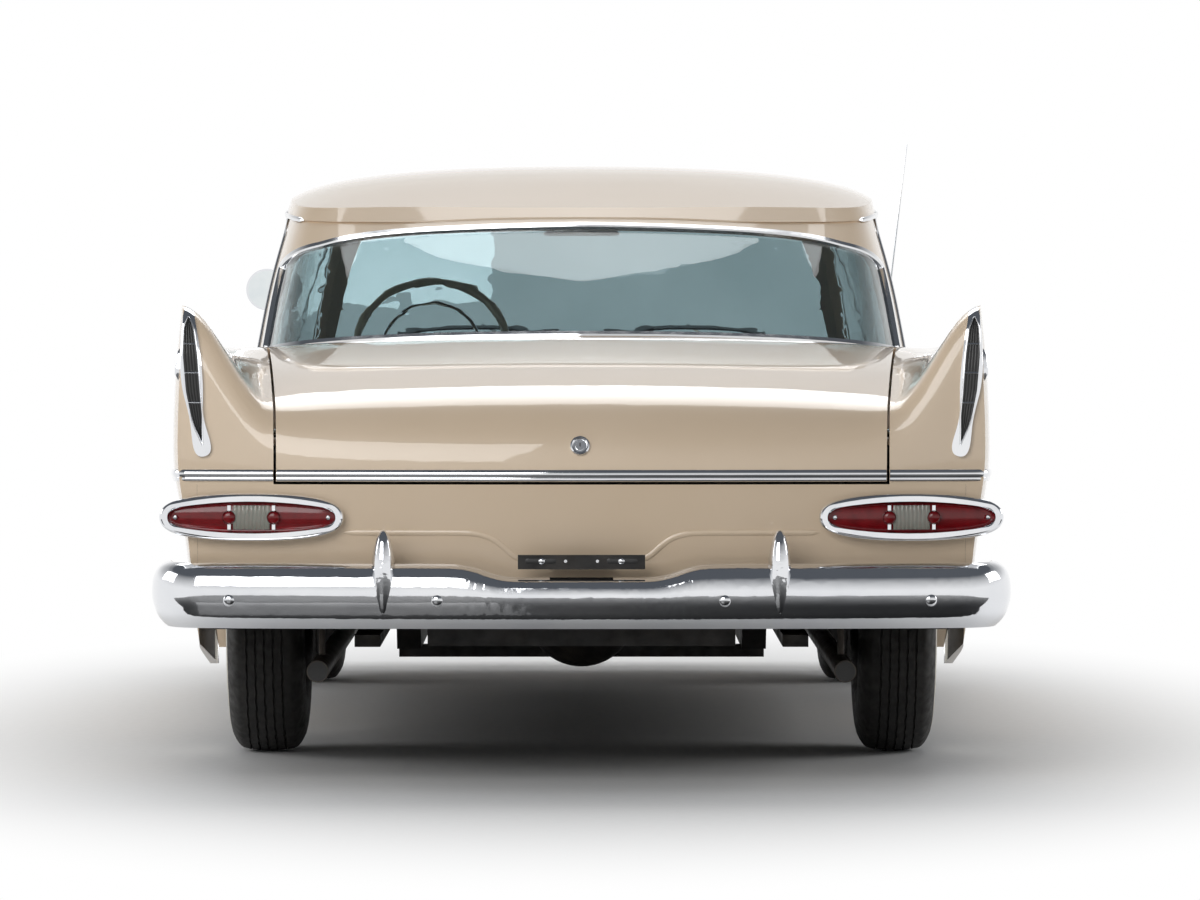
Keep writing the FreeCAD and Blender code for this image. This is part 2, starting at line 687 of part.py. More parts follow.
valance_side = size("mouth_half_width") - seam
baffle_x = nose_x - size("baffle_inset")
valance = front_shell.common(block(baffle_x - size("baffle_inset"), far, -valance_side,
                                   valance_side, size("nose_foot"), size("mouth_foot")))
baffle = block(baffle_x - jamb, baffle_x, -valance_side, valance_side, size("nose_foot"),
               lip - gap - seam)
air_gap = block(0, far, -size("grille_half_width") + jamb, size("grille_half_width") - jamb,
                size("mouth_foot") + 2 * jamb, lip - 3 * jamb)
baffle = baffle.common(front_form).cut(air_gap)
for side in (-1, 1):
    for name in ("headlamp_inner", "headlamp_outer"):
        hole = Part.makeCylinder(size("headlamp_diameter") / 2 + seam, far,
                                 Vector(0, side * size(name), size("headlamp_height")),
                                 Vector(1, 0, 0))
        baffle = baffle.cut(hole)
nose = valance.fuse(baffle)
node("nose_panel", nose)

# Rear: boot lid, rear face, deck strip and quarters
rear_shell = body.common(block(-far, door_rear - gap, -wide, wide, 0, height)).cut(rear_form)
tail_x = -tail_end_share * half_length


def lid_cutter(clear):
    """The space over the boot lid's outline, wider by the clearance."""
    outline = tapered(-size("lid_front"), size("lid_half_width_front"),
                      tail_x, size("lid_half_width_rear"), clear)
    return plan_view(outline, size("lid_foot") - clear, height)


node("deck_lid", rear_shell.common(lid_cutter(0)))
tail_side = size("tail_half_width")
tail_box = block(-far, -size("lid_front"), -tail_side, tail_side, 0, size("lid_foot") - gap)
tail = rear_shell.common(block(-far, -size("lid_front"), -tail_side + seam, tail_side - seam,
                               size("tail_foot"), size("lid_foot") - gap))
node("tail_panel", tail)
strip_side = size("deck_strip_half_width")
strip_box = block(-size("lid_front") + gap, -size("deck_strip_front"), -strip_side, strip_side,
                  size("lid_foot"), height)
strip = rear_shell.common(block(-size("lid_front") + gap, -size("deck_strip_front") - seam,
                                -strip_side + seam, strip_side - seam, size("lid_foot"), height))
strip = strip.cut(cabin_hole)
node("deck_strip", strip)

reach, rise = size("rear_arch_reach"), size("rear_arch_top") - size("sill_height")
arch_radius = (reach ** 2 + rise ** 2) / (2 * rise)
rear_arch = Part.makeCylinder(arch_radius, 2 * wide,
                              Vector(rear_axle, 0, size("rear_arch_top") - arch_radius),
                              Vector(0, 1, 0))
quarter = rear_shell.common(block(-far, far, 0, wide, 0, height))
post = block(door_rear - gap - jamb, door_rear - gap, size("floor_half_width"), wide,
             size("rail_top"), height).common(rear_form)
quarter = quarter.fuse(post)
for tool in (lid_cutter(gap), tail_box, strip_box, cabin_hole, rear_arch):
    quarter = quarter.cut(tool)
quarter = quarter.cut(sweep(rear_axle - reach, -half_length, size("sweep_rear")))
node("quarter_panels", Part.makeCompound([quarter, mirrored(quarter)]))

# Doors and sills
door_zone = block(door_rear, door_front, 0, wide, size("door_foot"), height)
rebate = size("door_rebate")
inner_zone = block(door_rear + rebate, door_front - rebate, 0, wide,
                   size("door_foot") + rebate, height)
door = body.common(door_zone).cut(between_sides(size("door_wall"), overrun))
margin = between_sides(size("door_flange"), overrun).common(door_zone.cut(inner_zone))
door = door.cut(margin)
pair("door", door)

sill_top = size("door_foot") - gap
sill = body.common(block(door_rear - gap + seam, door_front + gap - seam, 0, wide, 0, sill_top))
sill = sill.cut(between_sides(size("sill_wall"), overrun))
step = block(door_rear - gap + seam, door_front + gap - seam, size("floor_half_width") - jamb,
             half_width - size("sill_wall") - jamb, size("sill_height") + jamb, sill_top)
sill = sill.fuse(step.common(between_sides(size("sill_wall") / 2)))
node("rocker_panels", Part.makeCompound([sill, mirrored(sill)]))


# Bumpers, lamps and grille

bumper_section_shares = (  # up the section, then how far in from its face
    (1, 1), (0.97, 0.55), (0.86, 0.14), (0.6, 0), (0.38, 0.02), (0.3, 0.16), (0.12, 0.3), (0, 0.8),
)
bumper_plan_shares = (  # out across the car, then how far forward of its middle
    (0, 0), (0.12, 0.002), (0.18, 0.004), (0.225, 0.006), (0.27, 0.01), (0.34, 0.016),
    (0.6, 0.055), (0.8, 0.12), (0.92, 0.2), (0.975, 0.42), (1, 0.7), (1, 1),
)
dip_shares = (1, 1, 1, 0.5)


def bumper_net(sign, inset, dip):
    """Net of a bumper's outer skin, moved inwards by the inset."""
    reach, wall = size("bumper_reach"), size("bumper_half_width")
    places = [Vector(out * wall, back * reach, 0) for out, back in bumper_plan_shares]
    places = [Vector(-p.x, p.y, 0) for p in places[:0:-1]] + places
    net = []
    for up, back in bumper_section_shares:
        row = []
        for index, place in enumerate(places):
            before, after = places[max(index - 1, 0)], places[min(index + 1, len(places) - 1)]
            inward = Vector(before.y - after.y, after.x - before.x, 0)
            inward.normalize()
            depth = back * size("bumper_section") + inset
            z = size("bumper_foot") + up * size("bumper_height")
            from_middle = abs(index - len(places) // 2)
            if from_middle < len(dip_shares):
                z -= dip * dip_shares[from_middle] * max(2 * up - 1, 0)
            z -= inset * (2 * up - 1)
            row.append(Vector(sign * (half_length - place.y - inward.y * depth),
                              place.x + inward.x * depth, z))
        net.append(row)
    return net


def bumper(sign, dip):
    """A bumper's blade, as a shell of one wall."""
    wall = size("bumper_wall")
    return slab(bumper_net(sign, 0, dip), bumper_net(sign, wall, dip))


def behind_bumper(sign, inset):
    """All that lies behind a bumper's skin moved inwards by the inset, towards the car."""
    near = bumper_net(sign, inset, 0)
    step = Vector(sign * 2 * size("bumper_reach"), 0, 0)
    return slab(near, [[point - step for point in row] for row in near])


def guard(sign):
    """An upright oval guard on a bumper's face, left of the middle."""
    tall = size("guard_height")
    ball = Part.makeSphere(tall / 2)
    matrix = FreeCAD.Matrix()
    matrix.scale(2 * size("guard_depth") / tall, size("guard_width") / tall, 1)
    egg = ball.transformGeometry(matrix)
    egg = egg.translated(Vector(sign * (half_length - size("guard_depth")),
                                size("guard_offset"), size("guard_middle")))
    return egg.cut(behind_bumper(sign, size("bumper_wall")))


node("rear_bumper", bumper(-1, size("bumper_dip")).fuse([guard(-1), mirrored(guard(-1))]))
node("front_bumper", bumper(1, 0).fuse([guard(1), mirrored(guard(1))]))


def stadium(inner, outer, middle, rise, low, high):
    """A slot-shaped bar along the car: its outline in rear view has round ends."""
    radius = rise / 2
    bar = block(low, high, inner + radius, outer - radius, middle - radius, middle + radius)
    ends = [Part.makeCylinder(radius, high - low, Vector(low, y, middle), Vector(1, 0, 0))
            for y in (inner + radius, outer - radius)]
    return bar.fuse(ends).removeSplitter()


lamp_end_share = 0.62


def oval(inner, outer, middle, rise, low, high):
    """A bar along the car whose outline in rear view is an oval of two long and two short arcs."""
    half, up = (outer - inner) / 2, rise / 2
    short = up * lamp_end_share
    long = (half ** 2 + up ** 2 - 2 * half * short) / (2 * (up - short))
    y, z = (half - short) * long / (long - short), short * (long - up) / (long - short)
    places = [(-y, z), (0, up), (y, z), (half, 0), (y, -z), (0, -up), (-y, -z), (-half, 0)]
    points = [Vector(low, (inner + outer) / 2 + y, middle + z) for y, z in places]
    arcs = [Part.Arc(points[at], points[at + 1], points[(at + 2) % 8]).toShape()
            for at in (0, 2, 4, 6)]
    return Part.Face(Part.Wire(arcs)).extrude(Vector(high - low, 0, 0))


# Rear lamps wrap round the body's corner
lamp_place = [size("tail_lamp_" + name) for name in ("inner", "outer", "height", "rise")]
lamp_rear = tail_x - size("tail_lamp_proud")
lamp_front = tail_x + size("tail_lamp_depth")
rim = size("tail_lamp_rim")
inner, outer, middle, rise = lamp_place
lens_place = [inner + rim, outer - rim, middle, rise - 2 * rim]


def lamp_form(proud):
    """All that lies ahead of the bowed face that the rear lamps have this far behind the body."""
    bow = size("tail_lamp_bow")
    back = tail_x + size("tail_lamp_seat") - proud
    return Part.makeCylinder(bow, height, Vector(back + bow, 0, 0))


bed = lamp_form(size("lens_bed"))
bezel = oval(*lamp_place, lamp_rear - overrun, lamp_front).common(lamp_form(size("tail_lamp_proud")))
bezel = bezel.cut(oval(*lens_place, lamp_rear - overrun, lamp_front).cut(bed)).cut(body)
bezel = max(bezel.Solids, key=lambda solid: solid.Volume)
node("tail_lamp_bezels", Part.makeCompound([bezel, mirrored(bezel)]))
lens_place = [lens_place[0] + seam, lens_place[1] - seam, lens_place[2], lens_place[3] - 2 * seam]
lens = oval(*lens_place, lamp_rear - overrun, lamp_front)
lens = lens.common(lamp_form(size("tail_lamp_proud") - size("lens_recess")))
lens = lens.cut(lamp_form(size("lens_bed") + seam)).cut(body)
lens = max(lens.Solids, key=lambda solid: solid.Volume)
node("tail_lamp_lenses", Part.makeCompound([lens, mirrored(lens)]))

# Leaf-shaped ornaments on the fins' rear faces: across and up, as shares of half width and height
leaf_shares = (
    (0.893, 0.762), (0.906, 0.722), (0.909, 0.675), (0.902, 0.62), (0.884, 0.565), (0.858, 0.518),
    (0.847, 0.52), (0.85, 0.565), (0.856, 0.62), (0.862, 0.675), (0.874, 0.727),
)
leaf_points = [Vector(-far, y * half_width, z * height) for y, z in leaf_shares]
leaf_line = Part.BSplineCurve()
leaf_line.interpolate(Points=leaf_points, PeriodicFlag=True)
leaf_face = Part.Face(Part.Wire([leaf_line.toShape()]))
leaf_bar = leaf_face.extrude(Vector(half_length, 0, 0))
proud = body.translated(Vector(-size("ornament_proud"), 0, 0))
leaf = leaf_bar.common(proud).cut(body)
leaf = max(leaf.Solids, key=lambda solid: solid.Volume)
node("fin_ornaments", Part.makeCompound([leaf, mirrored(leaf)]))

# Headlamps in pairs, on one plate each side
lamp_z = size("headlamp_height")
lamp_radius = size("headlamp_diameter") / 2
lamps, plates = [], []
plate_margin = size("bezel_margin")
plate = stadium(size("headlamp_inner") - lamp_radius - plate_margin,
                size("headlamp_outer") + lamp_radius + plate_margin, lamp_z,
                2 * (lamp_radius + plate_margin), baffle_x + seam, baffle_x + size("bezel_depth"))
for name in ("headlamp_inner", "headlamp_outer"):
    place = Vector(baffle_x - size("headlamp_depth") / 2, size(name), lamp_z)
    can = Part.makeCylinder(lamp_radius, size("headlamp_depth"), place, Vector(1, 0, 0))
    dome_radius = size("headlamp_diameter")
    dome = Part.makeSphere(dome_radius, place + Vector(size("headlamp_depth")
                                                       - dome_radius * 0.84, 0, 0))
    lamps.append(can.common(dome))
    hole = Part.makeCylinder(lamp_radius + seam, 4 * size("bezel_depth"),
                             place, Vector(1, 0, 0))
    plate = plate.cut(hole)
node("headlamps", Part.makeCompound(lamps + [mirrored(lamp) for lamp in lamps]))
node("headlamp_bezels", Part.makeCompound([plate, mirrored(plate)]))

# Grille: a rim with level bars, crossed by thinner uprights behind
bar = size("grille_bar")
grille_low = size("mouth_foot") + seam
grille_high = grille_low + size("grille_height")
grille_x = baffle_x + seam
depth = size("grille_depth")
side_y = size("grille_half_width")
grille_parts = [
    block(grille_x, grille_x + depth, -side_y, side_y, grille_low, grille_low + bar),
    block(grille_x, grille_x + depth, -side_y, side_y, grille_high - bar, grille_high),
    block(grille_x, grille_x + depth, side_y - bar, side_y, grille_low, grille_high),
    block(grille_x, grille_x + depth, -side_y, bar - side_y, grille_low, grille_high),
]
level_bars, uprights = 5, 15
for index in range(1, level_bars + 1):
    z = grille_low + index * (size("grille_height") - bar) / (level_bars + 1)
    grille_parts.append(block(grille_x + depth / 3, grille_x + depth, -side_y, side_y,
                              z + bar / 4, z + 3 * bar / 4))
for index in range(1, uprights + 1):
    y = -side_y + index * (2 * side_y - bar) / (uprights + 1)
    grille_parts.append(block(grille_x, grille_x + depth * 2 / 3, y + bar / 4, y + 3 * bar / 4,
                              grille_low, grille_high))
grille = grille_parts[0].fuse(grille_parts[1:]).removeSplitter()
node("grille", grille)


# Pieces bound to the sheet

aliases = {alias for alias, value, note in SIZES}


def cells(expression):
    """The expression with each alias as a reference to the sheet."""
    return re.sub(r"[a-z_]+", lambda w: "Sizes." + w[0] if w[0] in aliases else w[0], expression)


def bind(made, **expressions):
    """Ties an object's properties to the sheet."""
    for name, expression in expressions.items():
        made.setExpression(name.replace("__", "."), cells(expression))
    return made


def box(label, x, y, z):
    """A block between pairs of expressions along each axis."""
    made = doc.addObject("Part::Box", label)
    for name, axis, (low, high) in zip(("Length", "Width", "Height"), "xyz", (x, y, z)):
        made.setExpression(name, cells(f"({high}) - ({low})"))
        made.setExpression(f"Placement.Base.{axis}", cells(low))
    return made


turns = {"x": (Vector(0, 1, 0), 90), "y": (Vector(1, 0, 0), -90), "z": (Vector(0, 0, 1), 0)}


def rod(label, axis, diameter, length, x, y, z):
    """A cylinder that starts at a place and runs along an axis."""
    made = doc.addObject("Part::Cylinder", label)
    turn_axis, angle = turns[axis]
    made.Placement = FreeCAD.Placement(Vector(0, 0, 0), FreeCAD.Rotation(turn_axis, angle))
    bind(made, Radius=f"({diameter}) / 2", Height=length)
    return bind(made, Placement__Base__x=x, Placement__Base__y=y, Placement__Base__z=z)


def united(label, pieces):
    """Several pieces as one solid."""
    made = doc.addObject("Part::MultiFuse", label)
    made.Shapes = pieces
    return made


def other_side(label, source):
    """The piece's mirror image."""
    made = doc.addObject("Part::Mirroring", label)
    made.Source, made.Normal = source, Vector(0, 1, 0)
    return made


def both_sides(label, source):
    """The piece and its mirror image, as two solids of one sub-part."""
    made = doc.addObject("Part::Compound", label)
    made.Links = [source, other_side(label + "_right", source)]
    nodes[label] = made
    return made


def outline(body_, role, points):
    """A closed sketch outline on one of the body's planes, each corner held by two expressions."""
    sketch = body_.newObject("Sketcher::SketchObject", body_.Name + "_outline")
    plane = next(plane for plane in body_.Origin.OriginFeatures if plane.Role == role)
    sketch.AttachmentSupport = [(plane, "")]
    sketch.MapMode = "FlatFace"
    values = []
    for across, up in points:
        values.append(Vector(value(across), value(up), 0))
    count = len(values)
    for index in range(count):
        sketch.addGeometry(Part.LineSegment(values[index], values[(index + 1) % count]), False)
    for index in range(count):
        sketch.addConstraint(Sketcher.Constraint("Coincident", index, 2, (index + 1) % count, 1))
    for index, (across, up) in enumerate(points):
        for kind, expression, amount in (("DistanceX", across, values[index].x),
                                         ("DistanceY", up, values[index].y)):
            number = sketch.addConstraint(Sketcher.Constraint(kind, -1, 1, index, 1, amount))
            sketch.setExpression(f"Constraints[{number}]", cells(expression))
    return sketch


def value(expression):
    """The expression's value now, for a sketch's first drawing."""
    return float(sheet.evalExpression(expression))


def padded(label, points, low, high):
    """A side-view outline padded across the car, from low to high."""
    body_ = doc.addObject("PartDesign::Body", label)
    sketch = outline(body_, "XZ_Plane", points)
    pad = body_.newObject("PartDesign::Pad", label + "_pad")
    pad.Profile = sketch
    pad.Reversed = True
    bind(pad, Length=f"({high}) - ({low})")
    bind(body_, Placement__Base__y=low)
    return body_


def turned(label, points, x="0", y="0", z="0"):
    """An outline of radius and reach across the car, revolved about the car's cross axis."""
    body_ = doc.addObject("PartDesign::Body", label)
    sketch = outline(body_, "XY_Plane", points)
    turn = body_.newObject("PartDesign::Revolution", label + "_turn")
    turn.Profile = sketch
    turn.ReferenceAxis = (sketch, ["V_Axis"])
    turn.Angle = 360
    return bind(body_, Placement__Base__x=x, Placement__Base__y=y, Placement__Base__z=z)


front_axle_x = "overall_length / 2 - front_overhang"
rear_axle_x = f"({front_axle_x} - wheelbase)"
axle_z = "tyre_diameter / 2"
wheel_places = {
    "front": (front_axle_x, "track_front / 2"),
    "rear": (rear_axle_x, "track_rear / 2"),
}


# Up the tyre's wall and of its section; then down from its crown and of its tread
tyre_wall_shares = ((0.12, 0.49), (0.25, 0.5), (0.37, 0.47))
tread_shares = ((0.04, 0.53), (0.012, 0.42), (0, 0.2))


def tyre_outline():
    """Radius and reach round a tyre's section."""
    tall = "(tyre_diameter - bead_diameter)"
    half = [("bead_diameter / 2", "bead_width / 2")]
    for up, out in tyre_wall_shares:
        half.append((f"bead_diameter / 2 + {up} * {tall}", f"{out} * tyre_section"))
    for down, out in tread_shares:
        half.append((f"tyre_diameter / 2 - {down} * {tall}", f"{out} * tread_width"))
    return [(radius, f"-({reach})") for radius, reach in half] + half[::-1]


# Of the rim's reach: the disc's bore, well, face and back. Of the cap: its diameter and its dish
bore_share, well_share, disc_share, web_share = 0.1, 0.9, 0.45, 0.28
cap_shares = ((0.4, 1), (0.2, 0.8), (0.12, 1.5), (0, 1.6))


def rim_outline(side):
    """Rim, disc and hub cap of one wheel; side is 1 where the outside faces left."""
    seat = "bead_diameter / 2 - joint_line"
    well = f"({seat} - 2 * rim_wall)"
    bore = "stub_diameter / 2 + bearing_gap"
    points = [
        (bore, f"-{bore_share} * rim_reach"),
        (f"{well} - rim_wall", f"{bore_share} * rim_reach"),
        (f"{well} - rim_wall", f"-{well_share} * rim_reach"),
        (f"{seat} + rim_lip", "-rim_reach"),
        (f"{seat} + rim_lip", "-rim_reach + rim_wall"),
        (seat, "-rim_reach + rim_wall"),
        (seat, "rim_reach - rim_wall"),
        (f"{seat} + rim_lip", "rim_reach - rim_wall"),
        (f"{seat} + rim_lip", "rim_reach"),
        (well, "rim_reach - rim_wall / 2"),
        (well, f"{disc_share} * rim_reach"),
        ("hubcap_diameter / 2", f"{disc_share} * rim_reach + rim_wall"),
    ]
    for out, up in cap_shares:
        points.append((f"{out} * hubcap_diameter", f"{disc_share} * rim_reach + {up} * hubcap_dish"))
    points += [("0", f"{web_share} * rim_reach"), (bore, f"{web_share} * rim_reach")]
    if side < 0:
        points = [(radius, f"-({across})") for radius, across in points]
    return points


for end, (axle_x, half_track) in wheel_places.items():
    for side, hand in ((1, "left"), (-1, "right")):
        centre_y = half_track if side > 0 else f"-({half_track})"
        tyre = turned(f"tyre_{end}_{hand}", tyre_outline(), axle_x, centre_y, axle_z)
        wheel = turned(f"wheel_{end}_{hand}", rim_outline(side), axle_x, centre_y, axle_z)
        nodes[tyre.Name] = tyre
        nodes[wheel.Name] = wheel

# Knuckles: kingpin, stub axle and brake drum
for side, hand in ((1, "left"), (-1, "right")):
    pin_y = "track_front / 2 - kingpin_inset"
    pin = rod(f"kingpin_{hand}", "z", "kingpin_diameter", "kingpin_length", front_axle_x, pin_y,
              f"{axle_z} - kingpin_length / 2")
    stub = rod(f"stub_{hand}", "y", "stub_diameter", "kingpin_inset + 0.25 * rim_reach",
               front_axle_x, pin_y, axle_z)
    drum = rod(f"drum_{hand}", "y", "drum_diameter",
               "kingpin_inset - kingpin_diameter / 2 - 0.1 * rim_reach - 3 * joint_line",
               front_axle_x, f"{pin_y} + kingpin_diameter / 2 + joint_line", axle_z)
    knuckle = united(f"knuckle_{hand}_form", [pin, stub, drum])
    if side < 0:
        knuckle = other_side("knuckle_right", knuckle)
    nodes[f"knuckle_{hand}"] = knuckle

# Chassis: two rails that kick up over the axles, cross members and bumper brackets
kick_share = 0.35
kick_reach = f"{kick_share} * tyre_diameter"
rail_tops = [
    ("-overall_length / 2 + bumper_reach", "rail_top_tail"),
    (f"{rear_axle_x} - {kick_reach} - rail_height", "rail_top_tail"),
    (f"{rear_axle_x} - {kick_reach}", "rail_top_over_axle"),
    (f"{rear_axle_x} + {kick_reach}", "rail_top_over_axle"),
    (f"{rear_axle_x} + {kick_reach} + 2 * rail_height", "rail_top"),
    (f"{front_axle_x} - 1.4 * tyre_diameter", "rail_top"),
    (f"{front_axle_x} - 0.9 * tyre_diameter", "rail_top_front"),
    ("overall_length / 2 - bumper_reach", "rail_top_front"),
]
rail_points = rail_tops + [(x, f"{z} - rail_height") for x, z in rail_tops[::-1]]
rail = padded("rail", rail_points, "rail_offset - rail_width / 2", "rail_offset + rail_width / 2")
other_rail = other_side("rail_right", rail)
rail_inner = "rail_offset - rail_width / 2"
rail_outer = "rail_offset + rail_width / 2"
cross_front = box("cross_front", (f"{front_axle_x} - arm_width", f"{front_axle_x} + arm_width"),
                  (f"-({rail_outer})", rail_outer),
                  (f"{axle_z} - kingpin_length / 2 - joint_line", "rail_top_front - rail_height"))
cross_middle = box("cross_middle",
                   ("-door_length / 2 - cross_tube", "-door_length / 2 + cross_tube"),
                   (f"-({rail_outer})", rail_outer),
                   ("rail_top - rail_height - cross_tube", "rail_top - rail_height"))
cross_rear = box("cross_rear", ("-tank_rear - 2 * cross_tube", "-tank_rear - cross_tube / 2"),
                 (f"-({rail_inner})", rail_inner),
                 ("rail_top_tail - rail_height", "rail_top_tail - joint_line"))


def bumper_bracket(label, sign, x, low, high):
    """A stub from a rail's end to the bumper's inner face."""
    stub = block(min(x, sign * far), max(x, sign * far), value(rail_inner), value(rail_outer),
                 low, high)
    return feature(label, stub.common(behind_bumper(sign, size("bumper_wall") + seam)))


doc.recompute()
stub_low = size("bumper_foot") + size("bumper_height") * 0.3
bracket_rear = bumper_bracket("bracket_rear", -1, size("bumper_reach") - half_length, stub_low,
                              size("tail_foot") - 2 * gap)
bracket_front = bumper_bracket("bracket_front", 1, half_length - size("bumper_reach"), stub_low,
                               size("nose_foot") - 2 * gap)
chassis = united("chassis_frame", [rail, other_rail, cross_front, cross_middle, cross_rear,
                                   bracket_rear, bracket_front,
                                   other_side("bracket_rear_right", bracket_rear),
                                   other_side("bracket_front_right", bracket_front)])
nodes["chassis_frame"] = chassis

# Floor: lies on the rails from the firewall to the rear face, narrower between the wheelhouses
doc.recompute()
floor_wall = size("floor_wall")
rail_line = [(value(x), value(z)) for x, z in rail_tops]
firewall_x = cowl_x - gap - jamb - seam
floor_line = [(tail_x, rail_line[0][1])] + rail_line[1:6]
floor_line.append((firewall_x, size("rail_top_front") - seam))
floor_low = [Vector(x, -wide, z + seam) for x, z in floor_line]
floor_high = [Vector(x, -wide, z + seam + floor_wall) for x, z in floor_line[::-1]]
floor_face = Part.Face(Part.makePolygon(floor_low + floor_high + floor_low[:1]))
floor_plate = floor_face.extrude(Vector(0, 2 * wide, 0))
narrow = size("floor_half_width_rear")
broad = size("floor_half_width")
kick_up = rail_line[4][0]
floor_plan = plan_view([(-far, -narrow), (-far, narrow), (kick_up, narrow), (kick_up, broad),
                        (firewall_x, broad), (firewall_x, -broad), (kick_up, -broad),
                        (kick_up, -narrow)], 0, height)
behind_floor = block(-far, tail_x + size("lid_wall") + overrun, -wide, wide, 0, height)
floor = floor_plate.common(floor_plan).cut(behind_floor)
node("floor_pan", floor)

# Wheelhouses: half drums round the rear wheels, open outwards
house_side = size("wheelhouse_half_width")
house_radius = size("wheelhouse_radius")
house_wall = size("wheelhouse_wall")
centre = Vector(rear_axle, house_side, axle_height)
house = Part.makeCylinder(house_radius, half_width, centre, Vector(0, 1, 0))
centre.y += house_wall
house = house.cut(Part.makeCylinder(house_radius - house_wall, half_width, centre, Vector(0, 1, 0)))
house = house.common(rear_form.translated(Vector(0, -seam, 0)))
house = house.cut(block(-far, far, 0, wide, 0, size("rail_top")))
house = house.cut(block(rear_axle - overrun, rear_axle + overrun, 0, house_side + 2 * house_wall,
                        0, axle_height + overrun))
house = max(house.Solids, key=lambda solid: solid.Volume)
node("wheelhouses", Part.makeCompound([house, mirrored(house)]))

# Splash panels between the firewall and the plate behind the grille
apron_y = size("rail_offset") + size("rail_width")
apron = block(cowl_x - gap + seam, baffle_x - jamb - seam, apron_y, apron_y + floor_wall,
              axle_height + size("kingpin_length") / 2 + 2 * size("arm_height"),
              height).common(front_form)
node("inner_fenders", Part.makeCompound([apron, mirrored(apron)]))

# Bulkhead and shelf behind the rear seat
bulkhead_x = -size("bulkhead_place")
shelf_z = size("shelf_height")
bulkhead = block(bulkhead_x, bulkhead_x + floor_wall, -narrow, narrow,
                 rail_line[2][1] + floor_wall + 2 * seam, shelf_z)
shelf = block(-size("lid_front") - overrun, bulkhead_x + overrun, -size("bonnet_half_width_rear"),
              size("bonnet_half_width_rear"), shelf_z, shelf_z + floor_wall).common(rear_form)
node("rear_shelf", bulkhead.fuse(shelf))

# Engine, gearbox, propeller shaft, axle, springs, tank and exhaust
engine = box("engine_block", ("engine_front - engine_length", "engine_front"),
             ("-engine_width / 2", "engine_width / 2"),
             ("rail_top_front - rail_height + joint_line", "engine_top"))
gearbox = box("gearbox", ("engine_front - engine_length - gearbox_length",
                          "engine_front - engine_length + cross_tube"),
              ("-gearbox_width / 2", "gearbox_width / 2"), ("gearbox_foot", "gearbox_top"))
bell = box("bell_housing", ("engine_front - engine_length - gearbox_width / 3",
                            "engine_front - engine_length + cross_tube"),
           ("-gearbox_width / 2", "gearbox_width / 2"),
           ("gearbox_foot", "rail_top_front - rail_height + 2 * cross_tube"))
nodes["engine"] = united("engine", [engine, gearbox, bell])

tube = rod("axle_tube_form", "y", "axle_tube", "2 * (track_rear / 2 - 0.5 * rim_reach)",
           rear_axle_x, "-(track_rear / 2 - 0.5 * rim_reach)", axle_z)
casing = doc.addObject("Part::Sphere", "axle_casing_form")
bind(casing, Radius="axle_casing / 2", Placement__Base__x=rear_axle_x, Placement__Base__z=axle_z)
rear_pieces = [tube, casing]
spring_low = "spring_offset - spring_width / 2"
spring_x = (f"{rear_axle_x} - spring_length / 2", f"{rear_axle_x} + spring_length / 2")
spring_z = (f"{axle_z} - axle_tube / 2 - spring_height / 2",
            f"{axle_z} - axle_tube / 2 + spring_height / 2")
for side, hand in ((1, "left"), (-1, "right")):
    for name, diameter, low, length in (
        ("rear_drum", "drum_diameter", "track_rear / 2 - 0.9 * rim_reach", "drum_width"),
        ("rear_stub", "stub_diameter", "track_rear / 2 - rim_reach", "1.25 * rim_reach"),
    ):
        start = low if side > 0 else f"-({low}) - {length}"
        rear_pieces.append(rod(f"{name}_{hand}", "y", diameter, length, rear_axle_x, start, axle_z))
    start = spring_low if side > 0 else f"-({spring_low}) - spring_width"
    rear_pieces.append(box(f"spring_{hand}", spring_x, (start, f"{start} + spring_width"), spring_z))
shaft = rod("propeller_shaft", "x", "shaft_diameter",
            f"engine_front - engine_length - gearbox_length - joint_line - {rear_axle_x}",
            rear_axle_x, "0", "shaft_height")
nodes["rear_axle"] = united("rear_axle", rear_pieces + [shaft])

tank = box("fuel_tank", ("-tank_rear", "-tank_rear + tank_length"),
           ("-tank_width / 2", "tank_width / 2"), ("tank_foot", "rail_top_tail - joint_line"))
nodes["fuel_tank"] = tank

pipe = rod("pipe", "x", "pipe_diameter", "tank_rear + 0.6 * door_length", "-tank_rear",
           "pipe_offset", "pipe_height")
hangers = []
for name, place in (("front", "0.5 * door_length"), ("middle", "-0.5 * door_length")):
    hangers.append(rod(f"hanger_{name}", "z", "cross_tube / 2", "rail_top - pipe_height",
                       place, "pipe_offset", "pipe_height"))
hangers.append(rod("hanger_rear", "z", "cross_tube / 2", "rail_top_tail - pipe_height",
                   "-tank_rear + tank_length / 2", "pipe_offset", "pipe_height"))
both_sides("exhaust_pipes", united("exhaust", [pipe] + hangers))

# Front suspension arms, inside the wheels' barrels
arms = []
lower_z = f"({axle_z} - kingpin_length / 2 - joint_line)"
upper_z = f"({axle_z} + kingpin_length / 2 + joint_line)"
arm_x = (f"{front_axle_x} - arm_width / 2", f"{front_axle_x} + arm_width / 2")
arm_end = "track_front / 2 - kingpin_inset + kingpin_diameter / 2"
lower_arm = box("lower_arm", arm_x, (rail_inner, arm_end), (f"{lower_z} - arm_height", lower_z))
upper_arm = box("upper_arm", arm_x, (rail_inner, arm_end), (upper_z, f"{upper_z} + arm_height"))
mount = box("arm_mount", arm_x, (rail_inner, rail_outer), ("rail_top_front + joint_line", upper_z))
both_sides("front_suspension", doc.addObject("Part::Compound", "arms"))
doc.getObject("arms").Links = [lower_arm, united("upper_arm_form", [upper_arm, mount])]

# Seats, dashboard and steering
floor_top = "(rail_top + floor_wall + 2 * joint_line)"


